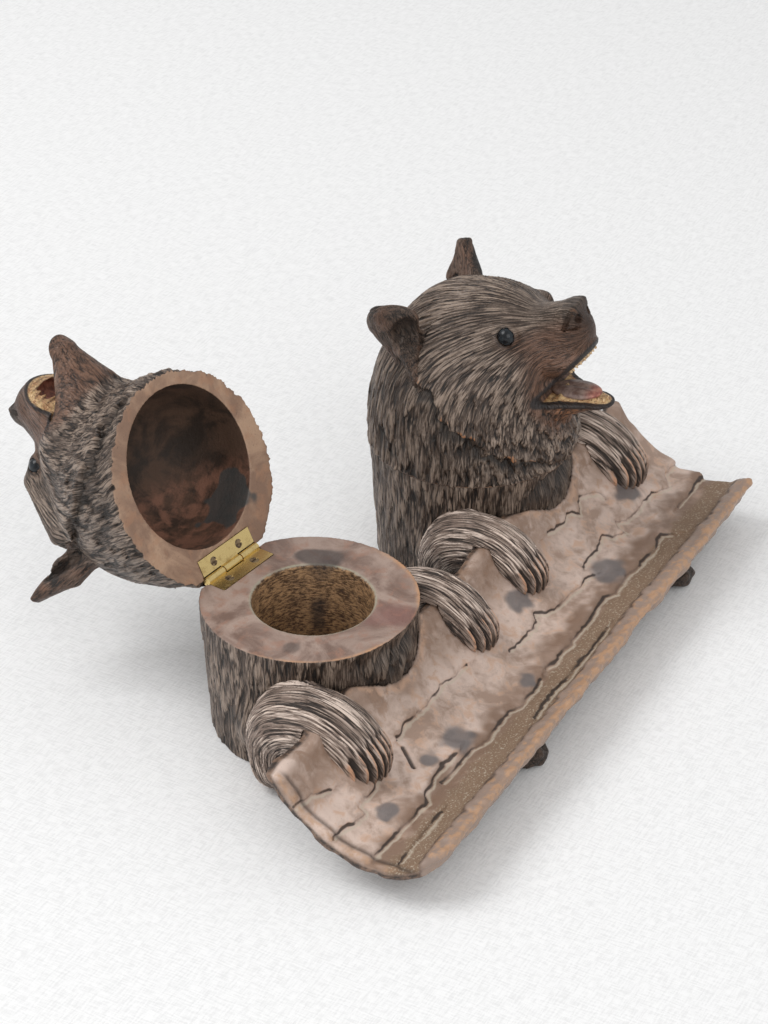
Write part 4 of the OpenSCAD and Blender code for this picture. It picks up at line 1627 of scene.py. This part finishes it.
    def build(self) -> bpy.types.Object:
        """Carves the tray."""
        block = Block((self.left - 1.5, self.lip_y - 2.5, 6.5), (self.right + 1.5, -20.0, 37.0), self.cell)
        points, quads = Carving(block, self.form, self.relief, self.cuts, 2.2).mesh()
        x, y, z = (points[:, i].astype(np.float32) for i in range(3))
        rho, a = self.wrap(y, z)
        _, cracks, dust = self.face(x, a, y, z)
        inside = ease(self.top_r + 3.0, self.top_r + 1.8, rho)
        blot = GRAIN.read(x, a, x * 0, 3.0)
        spot = np.zeros(x.shape, np.float32)
        for sx, sy, r in self.spots:
            gap = np.sqrt(((x - sx) * 0.8) ** 2 + (a - self.arc(sy)) ** 2) + 1.6 * blot
            spot = np.maximum(spot, ease(r, r * 0.6, gap))
        gutter = ease(self.arc(-61.5), self.arc(-65.0), a + 1.2 * blot)
        chips = GRAIN.read(x, a, x * 0 + 11, 4.5) + 0.6 * GRAIN.read(x, a, x * 0 + 12, 2.0)
        rim = ease(self.arc(-71.6), self.arc(-73.2), a + 1.2 * chips)
        lip = ease(self.arc(-75.8), self.arc(-76.5), a + 0.4 * chips)
        end = ease(self.left + 2.2, self.left + 1.2, x) * ease(self.top_r + 1.9, self.top_r + 1.1, rho)
        cone = np.sqrt((np.abs(x) - WELL_SPACING / 2) ** 2 + (y - 1.2) ** 2) - (31.5 + 3.0 * z / SEAT_H)
        # Painted highlight on the top of the left end's back edge.
        corner = ease(self.left + 10.0, self.left + 8.0, x + 1.5 * blot) * ease(self.arc(-29.5), self.arc(-27.5), a)
        marks = {
            "crack": cracks * inside,
            "dust": dust * inside,
            "gutter": gutter * inside * (1 - rim),
            "rim": np.clip(rim, 0, 1),
            "end": end,
            "groove": bump(x, self.left + 3.2, 0.8) * inside,
            "spot": spot * inside,
            "inside": inside,
            "bank": ease(self.arc(-40), self.arc(-32), a) * inside,
            "low": ease(self.arc(-53.0), self.arc(-60.0), a + 3.0 * blot) * inside,
            "lip": lip,
            "chip": bump(a + 1.2 * chips, self.arc(-72.4), 0.7) * inside,
            "notch": 0.65 * bump(cone + 0.8 * blot, 1.7, 0.9) * inside,
            # Painted shade where the busts sink into the tray.
            "contact_shade": ease(1.0, 0.2, cone),
            "corner": corner,
            "flow": np.stack([x, a, rho * 1.0], 1),
        }
        return as_object("bark_tray", points + np.array([SIDE_SHIFT, BACK_SHIFT, 0.0]), quads, marks)


@dataclass
class Foot:
    """A knobby foot under the tray's front."""

    side: int
    cell: float = 0.4

    def build(self) -> bpy.types.Object:
        """Carves the foot."""

        def form(x: Array, y: Array, z: Array) -> Array:
            """The foot round its own middle."""
            d = limb(x, y, z, (0, -61.5, 6.0), (0, -67.6, 5.8), 5.6, 6.5)
            knob = egg(x, y, z, (0.5, -71.6, 3.8), (6.0, 4.8, 3.8))
            return blend(d, knob, 1.5)

        def relief(x: Array, y: Array, z: Array) -> Array:
            """Rough knobs."""
            return 0.9 * GRAIN.read(x + 20 * self.side, y, z, 3.6) + 0.4 * GRAIN.read(x, y, z, 1.5) - 0.3

        def cuts(x: Array, y: Array, z: Array) -> Array:
            """Table and tray."""
            rho = np.sqrt((y + 63.0) ** 2 + (z - 54.0) ** 2)
            return np.maximum(np.maximum(-z, rho - 45.2 + 0 * x), (y * 0 + z - 40)) * 1.0

        def under(x: Array, y: Array, z: Array, skin: Array) -> Array:
            """Keeps what lies outside the curl."""
            rho = np.sqrt((y + 63.0) ** 2 + (z - 54.0) ** 2)
            return np.maximum(-z, 44.7 - rho)

        del cuts
        block = Block((-10.0, -78.5, -1.0), (10.0, -53.0, 14.5), self.cell)
        points, quads = Carving(block, form, relief, under).mesh()
        x, y, z = (points[:, i].astype(np.float32) for i in range(3))
        blot = GRAIN.read(x + 20 * self.side, y, z, 3.6)
        marks = {
            "carve": 0.5 + 0.5 * blot,
            "tone": 0.5 + 0.4 * GRAIN.read(x, y, z, 5.0),
            "flow": np.stack([x, y, z], 1),
            "red": 0.3 + 0 * x,
            "worn": np.clip(blot, 0, 1) * 0.4,
            "dark": 0.3 + 0 * x,
        }
        place = np.array([SIDE_SHIFT + 11.4 + 56.0 * self.side, BACK_SHIFT, 0.0])
        return as_object(f"{'right' if self.side > 0 else 'left'}_carved_foot", points + place, quads, marks)


@dataclass(frozen=True)
class BarkWood:
    """The tray's stained wood: cracks, dusty gutter, ink spots, rubbed lip, painted shade where the busts meet it and
    painted highlights.
    """

    name: str
    ground: Colour = (0.37, 0.255, 0.195)
    # A pale pinkish colour, partly the wood's dusty tone and partly a painted highlight.
    dusty_mauve_highlight: Colour = (0.66, 0.515, 0.44)
    warm: Colour = (0.56, 0.35, 0.235)
    brown: Colour = (0.22, 0.135, 0.09)
    gutter: Colour = (0.235, 0.15, 0.092)
    dusty: Colour = (0.56, 0.48, 0.38)
    dark: Colour = (0.03, 0.018, 0.013)
    ink: Colour = (0.13, 0.122, 0.125)
    orange: Colour = (0.46, 0.275, 0.165)
    rimmed: Colour = (0.31, 0.225, 0.18)

    def face(self, b: Bench, speck: Wire) -> Any:
        """Colour of the hollow face above the lip."""
        flow = b.flow()
        patch = b.cloud(flow, 14.0, 4.0, 0.6, 0.6)
        blot = b.cloud(flow, 5.0, 4.0, 0.62, 0.5)
        # Pale pinkish patches: dusty tone with a painted highlight.
        base = b.mix((patch * 0.6 + blot * 0.4).ramp(0.38, 0.58), self.ground, self.dusty_mauve_highlight)
        base = b.mix(blot.ramp(0.5, 0.66, 0.0, 0.7), base, self.warm)
        base = b.mix(b.mark("bank") * blot.ramp(0.35, 0.6, 0.2, 0.8), base, self.brown)
        base = b.mix(b.mark("low") * patch.ramp(0.36, 0.54, 0.35, 0.95), base, self.brown)
        ridge = b.mix(speck.ramp(0.54, 0.66), self.gutter, self.dusty)
        base = b.mix(b.mark("gutter") * speck.ramp(0.3, 0.5, 0.5, 0.95), base, ridge)
        base = b.mix((b.mark("dust") * (speck * 0.8 + 0.5)).ramp(0.25, 0.9, 0.0, 0.65), base, self.dusty)
        base = b.mix(b.mark("spot") * 0.82, base, self.ink)
        return b.mix((b.mark("crack") * 1.1).ramp(0.2, 0.85, 0.0, 0.92), base, self.dark)

    def make(self) -> bpy.types.Material:
        """Builds the material from the tray's marks."""
        b = Bench(self.name)
        at = b.place()
        speck = b.cloud(at, 0.7, 4.0, 0.7)
        fine = b.cloud(at, 0.35, 2.0, 0.6)
        edge = b.cloud(at, 3.0, 3.0, 0.6)
        base = self.face(b, speck)
        rim = b.mark("rim")
        base = b.mix(rim, base, b.mix(edge.ramp(0.5, 0.7), self.rimmed, self.orange))
        base = b.mix(b.mark("chip") * edge.ramp(0.4, 0.6, 0.2, 0.85), base, self.dark)
        base = b.mix(b.mark("lip") * edge.ramp(0.4, 0.55, 0.3, 1.0), base, self.orange)
        base = b.mix(b.mark("groove") * 0.7, base, self.dark)
        base = b.mix(b.mark("notch") * edge.ramp(0.4, 0.56), base, self.warm)
        # Painted highlight on the top of the left end's back edge.
        base = b.mix(b.mark("corner"), base, self.dusty_mauve_highlight)
        # Painted shade where the busts meet the tray.
        base = b.mix(b.mark("contact_shade") * 0.9, base, self.dark)
        under = b.mix(edge.ramp(0.4, 0.65), self.dark, self.brown)
        top = b.mark("inside").most(rim).most(b.mark("lip"))
        base = b.mix(top, under, base)
        base = b.mix(b.mark("end") * edge.ramp(0.4, 0.65, 0.15, 0.75), base, self.orange)
        base = b.mix(speck.ramp(0.62, 0.74) * 0.4, base, self.dark)
        rough = 0.42 + b.mark("gutter") * 0.25 + (speck - 0.5) * 0.3
        normal = b.relief(speck * 0.6 + fine * 0.5 + b.mark("gutter") * fine * 0.9, 0.18)
        return b.done(base, rough, normal)


# Fittings


@dataclass(frozen=True)
class TonguePaint:
    """Grey-brown tongue with worn red paint at its tip."""

    name: str

    def make(self) -> bpy.types.Material:
        """Builds the material from the mark tip."""
        b = Bench(self.name)
        at = b.place()
        patch = b.cloud(at, 2.0, 4.0, 0.65)
        speck = b.cloud(at, 0.5, 3.0, 0.65)
        top = b.mix(patch.ramp(0.35, 0.65), (0.14, 0.085, 0.07), (0.30, 0.22, 0.19))
        red = b.mix(patch.ramp(0.4, 0.6), (0.30, 0.055, 0.04), (0.48, 0.20, 0.14))
        base = b.mix(b.mark("tip") * patch.ramp(0.3, 0.6, 0.4, 1.0), top, red)
        base = b.mix(speck.ramp(0.55, 0.72) * 0.8, base, (0.05, 0.018, 0.014))
        return b.done(base, 0.32 + patch * 0.2, b.relief(speck, 0.12))


@dataclass(frozen=True)
class ToothPaint:
    """Yellowed cream paint with brown stains between the teeth."""

    name: str

    def make(self) -> bpy.types.Material:
        """Builds the material."""
        b = Bench(self.name)
        at = b.place()
        patch = b.cloud(at, 1.6, 4.0, 0.65)
        speck = b.cloud(at, 0.45, 3.0, 0.65)
        base = b.mix(patch.ramp(0.36, 0.6), (0.46, 0.26, 0.12), (0.78, 0.58, 0.34))
        base = b.mix(speck.ramp(0.54, 0.7) * 0.8, base, (0.12, 0.045, 0.02))
        return b.done(base, 0.36 + patch * 0.2, b.relief(speck, 0.08))


@dataclass(frozen=True)
class CarvedWood:
    """Fur outside, smooth stained wood within, and a painted mouth."""

    name: str
    fur: FurWood
    bored: bool = False

    def smooth(self, b: Bench) -> tuple[Any, Wire, Wire]:
        """Colour, roughness and bump height of the smooth faces."""
        at = b.place()
        patch = b.cloud(at, 15.0, 5.0, 0.62, 0.7)
        blot = b.cloud(at, 5.0, 4.0, 0.6, 0.4)
        grain = b.cloud(b.place((0.15, 1.0, 0.6)), 1.3, 4.0, 0.6)
        speck = b.cloud(at, 0.7, 3.0, 0.65)
        if self.bored:
            base = b.mix(patch.ramp(0.36, 0.64), (0.185, 0.115, 0.088), (0.39, 0.285, 0.235))
            base = b.mix(blot.ramp(0.48, 0.7, 0.0, 0.65), base, (0.33, 0.175, 0.12))
            base = b.mix(b.mark("blush") * 0.26, base, (0.30, 0.10, 0.10))
            base = b.mix(b.mark("edge") * blot.ramp(0.25, 0.5), base, (0.56, 0.31, 0.17))
            base = b.mix(b.mark("ring") * blot.ramp(0.3, 0.6, 0.3, 0.8), base, (0.38, 0.37, 0.27))
            rings = b.cloud(b.place((0.35, 0.35, 1.0)), 0.6, 4.0, 0.7)
            wall = b.mix((rings * 0.75 + blot * 0.35).ramp(0.44, 0.66), (0.075, 0.038, 0.018), (0.52, 0.31, 0.155))
            base = b.mix(b.mark("bore"), base, wall)
            fine = grain * 0.4 + b.mark("bore") * rings * 1.4
        else:
            base = b.mix(patch.ramp(0.4, 0.66), (0.25, 0.15, 0.10), (0.44, 0.285, 0.19))
            base = b.mix(blot.ramp(0.5, 0.68, 0.0, 0.5), base, (0.38, 0.20, 0.115))
            hollow = b.mix(patch.ramp(0.4, 0.62), (0.026, 0.015, 0.009), (0.085, 0.046, 0.028))
            hollow = b.mix(blot.ramp(0.36, 0.62, 0.1, 0.9) * b.mark("low"), hollow, (0.25, 0.115, 0.072))
            base = b.mix(b.mark("cup"), base, hollow)
            fine = grain * 0.5
        ink = (0.024, 0.022, 0.024) if self.bored else (0.060, 0.062, 0.060)
        base = b.mix(b.mark("stain") * 0.88, base, ink)
        base = b.mix(speck.ramp(0.58, 0.75) * 0.4, base, (0.04, 0.022, 0.015))
        return base, 0.5 + (patch - 0.5) * 0.25, fine + speck * 0.3

    def mouth(self, b: Bench, base: Any) -> Any:
        """Black lips, cream gums with dark gaps and a dark red throat."""
        at = b.place()
        patch = b.cloud(at, 2.2, 4.0, 0.65)
        speck = b.cloud(at, 0.6, 3.0, 0.65)
        gum = b.mix(patch.ramp(0.38, 0.6), (0.42, 0.22, 0.10), (0.68, 0.47, 0.24))
        gum = b.mix(speck.ramp(0.52, 0.68), gum, (0.12, 0.04, 0.02))
        gum = b.mix(b.mark("gap") * 0.8, gum, (0.04, 0.015, 0.01))
        base = b.mix(b.mark("throat"), base, b.mix(patch, (0.035, 0.010, 0.008), (0.11, 0.035, 0.024)))
        palate = b.mix(patch.ramp(0.35, 0.62), (0.10, 0.03, 0.02), (0.30, 0.115, 0.075))
        base = b.mix(b.mark("palate"), base, palate)
        base = b.mix(b.mark("gum"), base, gum)
        return b.mix(b.mark("lips") * 0.93, base, (0.014, 0.011, 0.011))

    def make(self) -> bpy.types.Material:
        """Builds the material from the piece's marks."""
        b = Bench(self.name)
        base, rough, height = self.fur.paint(b)
        plain, plain_rough, plain_height = self.smooth(b)
        inner = b.mark("inner")
        base = self.mouth(b, b.mix(inner, base, plain))
        rough = rough * (1 - inner) + (plain_rough + b.mark("cup") * 0.22) * inner
        height = height * (1 - inner) + plain_height * inner
        return b.done(base, rough, b.relief(height, self.fur.cut), specular_ior_level=0.5)


@dataclass(frozen=True)
class Linen:
    """White linen that the inkstand stands on."""

    name: str

    def make(self) -> bpy.types.Material:
        """Builds the material."""
        b = Bench(self.name)
        warp = b.cloud(b.place((1.0, 0.12, 1.0)), 0.62, 2.0, 0.5)
        weft = b.cloud(b.place((0.12, 1.0, 1.0)), 0.62, 2.0, 0.5)
        weave = warp * 0.5 + weft * 0.5
        base = b.mix(weave.ramp(0.34, 0.6), (0.80, 0.80, 0.80), (0.91, 0.91, 0.91))
        return b.done(base, 0.9, b.relief(weave, 0.25), specular_ior_level=0.2)


@dataclass
class Studio:
    """Floor, soft lights and the camera."""

    eye: Point = (-0.76065, -0.42941, 0.61312)
    aim: Point = (0.01873, -0.0098, 0.03485)
    lens: float = 113.1

    def floor(self) -> None:
        """Lays the linen floor."""
        mesh = bpy.data.meshes.new("linen_floor")
        s = 3.0
        mesh.from_pydata([(-s, -s, 0), (s, -s, 0), (s, s, 0), (-s, s, 0)], [], [(0, 1, 2, 3)])
        floor = bpy.data.objects.new("linen_floor", mesh)
        bpy.context.scene.collection.objects.link(floor)
        mesh.materials.append(Linen("linen").make())

    def lamp(self, name: str, at: Point, size: float, watts: float) -> None:
        """Adds one soft square lamp aimed at the object."""
        light = bpy.data.lights.new(name, "AREA")
        light.size = size
        light.energy = watts
        lamp = bpy.data.objects.new(name, light)
        lamp.location = at
        lamp.rotation_euler = (Vector((0, 0, 0.03)) - Vector(at)).to_track_quat("-Z", "Y").to_euler()
        bpy.context.scene.collection.objects.link(lamp)

    def world(self) -> None:
        """Plain soft world light, white to the camera."""
        world = bpy.data.worlds.new("plain_room")
        bpy.context.scene.world = world
        world.use_nodes = True
        tree = world.node_tree
        tree.nodes.clear()
        path = tree.nodes.new("ShaderNodeLightPath")
        amount = tree.nodes.new("ShaderNodeMapRange")
        amount.inputs["To Min"].default_value = 0.62
        amount.inputs["To Max"].default_value = 0.92
        tree.links.new(path.outputs["Is Camera Ray"], amount.inputs["Value"])
        back = tree.nodes.new("ShaderNodeBackground")
        back.inputs["Color"].default_value = (1, 1, 1, 1)
        tree.links.new(amount.outputs["Result"], back.inputs["Strength"])
        out = tree.nodes.new("ShaderNodeOutputWorld")
        tree.links.new(back.outputs[0], out.inputs["Surface"])

    def camera(self) -> None:
        """Adds the camera at the photograph's viewing angle."""
        data = bpy.data.cameras.new("photograph_view")
        data.sensor_fit = "VERTICAL"
        data.sensor_height = 36.0
        data.sensor_width = 27.0
        data.lens = self.lens
        camera = bpy.data.objects.new("photograph_view", data)
        camera.location = self.eye
        camera.rotation_euler = (Vector(self.aim) - Vector(self.eye)).to_track_quat("-Z", "Y").to_euler()
        bpy.context.scene.collection.objects.link(camera)
        bpy.context.scene.camera = camera

    def build(self) -> None:
        """Sets up the studio."""
        self.floor()
        self.world()
        self.lamp("window", (-0.5, 0.9, 1.3), 0.9, 12.5)
        self.lamp("fill", (-0.9, -1.1, 1.0), 1.2, 8.2)
        self.camera()
        bpy.context.scene.view_settings.view_transform = "Standard"


def dress(obj: bpy.types.Object, material: bpy.types.Material) -> None:
    """Puts one material on a piece or a CAD node."""
    obj.data.materials.clear()
    obj.data.materials.append(material)


def seat(piece: bpy.types.Object, body: str, nodes: Sequence[str], material: bpy.types.Material) -> None:
    """Dresses a piece and ties it to the frame.

    Args:
        piece: the finished piece.
        body: CAD body that it moves with.
        nodes: CAD nodes that it stands for.
        material: its finish.
    """
    dress(piece, material)
    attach(piece, body)
    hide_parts(*nodes)
    LOG.info("%s: %d faces", piece.name, len(piece.data.polygons))


def head_ears(head: Head) -> Ears:
    """The ears of one bear: the open head's are narrower and more pointed."""
    if head.side is Side.RIGHT:
        return Ears(head, EarShape(8.8), EarShape(6.6, 1.0, -5.0, 6.4, 1.9))
    sharp = EarShape(5.4, 0.5, -3.5, 11.4, 1.2)
    return Ears(head, sharp, sharp, tip=(32.5, 5.6, 33.5), tail=False)


def main() -> None:
    """Builds the inkstand's pieces and the studio."""
    logging.basicConfig(level=logging.INFO, format="%(message)s")
    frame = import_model()
    nodes = frame["nodes"]
    head_wood = CarvedWood("head_wood", FurWood("carved_fur")).make()
    torso_wood = CarvedWood("torso_wood", FurWood("torso_fur", strand=0.9), True).make()
    # The foreleg's light body and ridge colours hold a painted highlight: the legs' glossy sheen is part of their
    # colour.
    leg_fur = FurWood(
        "foreleg_wood",
        deep=(0.03, 0.02, 0.015),
        body=(0.24, 0.172, 0.136),
        ridge=(0.76, 0.62, 0.53),
        worn=(0.62, 0.33, 0.19),
        strand=0.9,
    )
    leg_wood = leg_fur.make()
    ear_wood = FurWood("ear_wood", ridge=(0.20, 0.14, 0.105), worn=(0.30, 0.10, 0.042)).make()
    foot_wood = FurWood("foot_wood", ridge=(0.12, 0.075, 0.05)).make()
    jaw_wood = CarvedWood("jaw_wood", FurWood("chin_fur")).make()
    tongue = TonguePaint("tongue_paint").make()
    enamel = ToothPaint("tooth_paint").make()
    glass = EyeGlass("eye_glass").make()
    brass = Brass("hinge_brass").make()
    pin = Brass("pin_brass", (0.74, 0.54, 0.22)).make()
    steel = ScrewSteel("screw_steel").make()
    for side, tilt, seed in ((Side.RIGHT, 25.0, 3), (Side.LEFT, 34.5, 31)):
        n = side.value
        lid = f"{n}_lid"
        if side is Side.RIGHT:
            head = Head(side, tilt, seed, 35.2, 1.0, Mouth(), 0.0, 0.7, 0.95)
        else:
            head = Head(side, tilt, seed, 33.9, 1.7, OPEN_MOUTH, 3.4, 2.2, 0.4)
        seat(head.build(), lid, [f"{n}_head_lid"], head_wood)
        seat(Jaw(head).build(), lid, [f"{n}_lower_jaw"], jaw_wood)
        seat(Tongue(head).build(), lid, [f"{n}_tongue"], tongue)
        seat(Teeth(head).build(enamel), lid, [f"{n}_lower_jaw"], enamel)
        seat(head_ears(head).build(), lid, [f"{n}_ears"], ear_wood)
        seat(Torso(side, seed + 40).build(), "stand", [f"{n}_body"], torso_wood)
        out = 1 if side is Side.RIGHT else -1
        seat(Foreleg(side, out, 10.0, seed + 2).build(), "stand", [f"{n}_outer_foreleg"], leg_wood)
        seat(Foreleg(side, -out, 8.6, seed + 6).build(), "stand", [f"{n}_inner_foreleg"], leg_wood)
        dress(nodes[f"{n}_eyes"], glass)
        for node in (f"{n}_body_leaf", f"{n}_lid_leaf"):
            dress(nodes[node], brass)
        dress(nodes[f"{n}_hinge_pin"], pin)
        for node in (f"{n}_body_screws", f"{n}_lid_screws"):
            dress(nodes[node], steel)
    seat(Tray().build(), "stand", ["tray"], BarkWood("tray_wood").make())
    for side in (-1, 1):
        node = "right_foot" if side > 0 else "left_foot"
        seat(Foot(side).build(), "stand", [node], foot_wood)
    Studio().build()


if __name__ == "__main__":
    main()
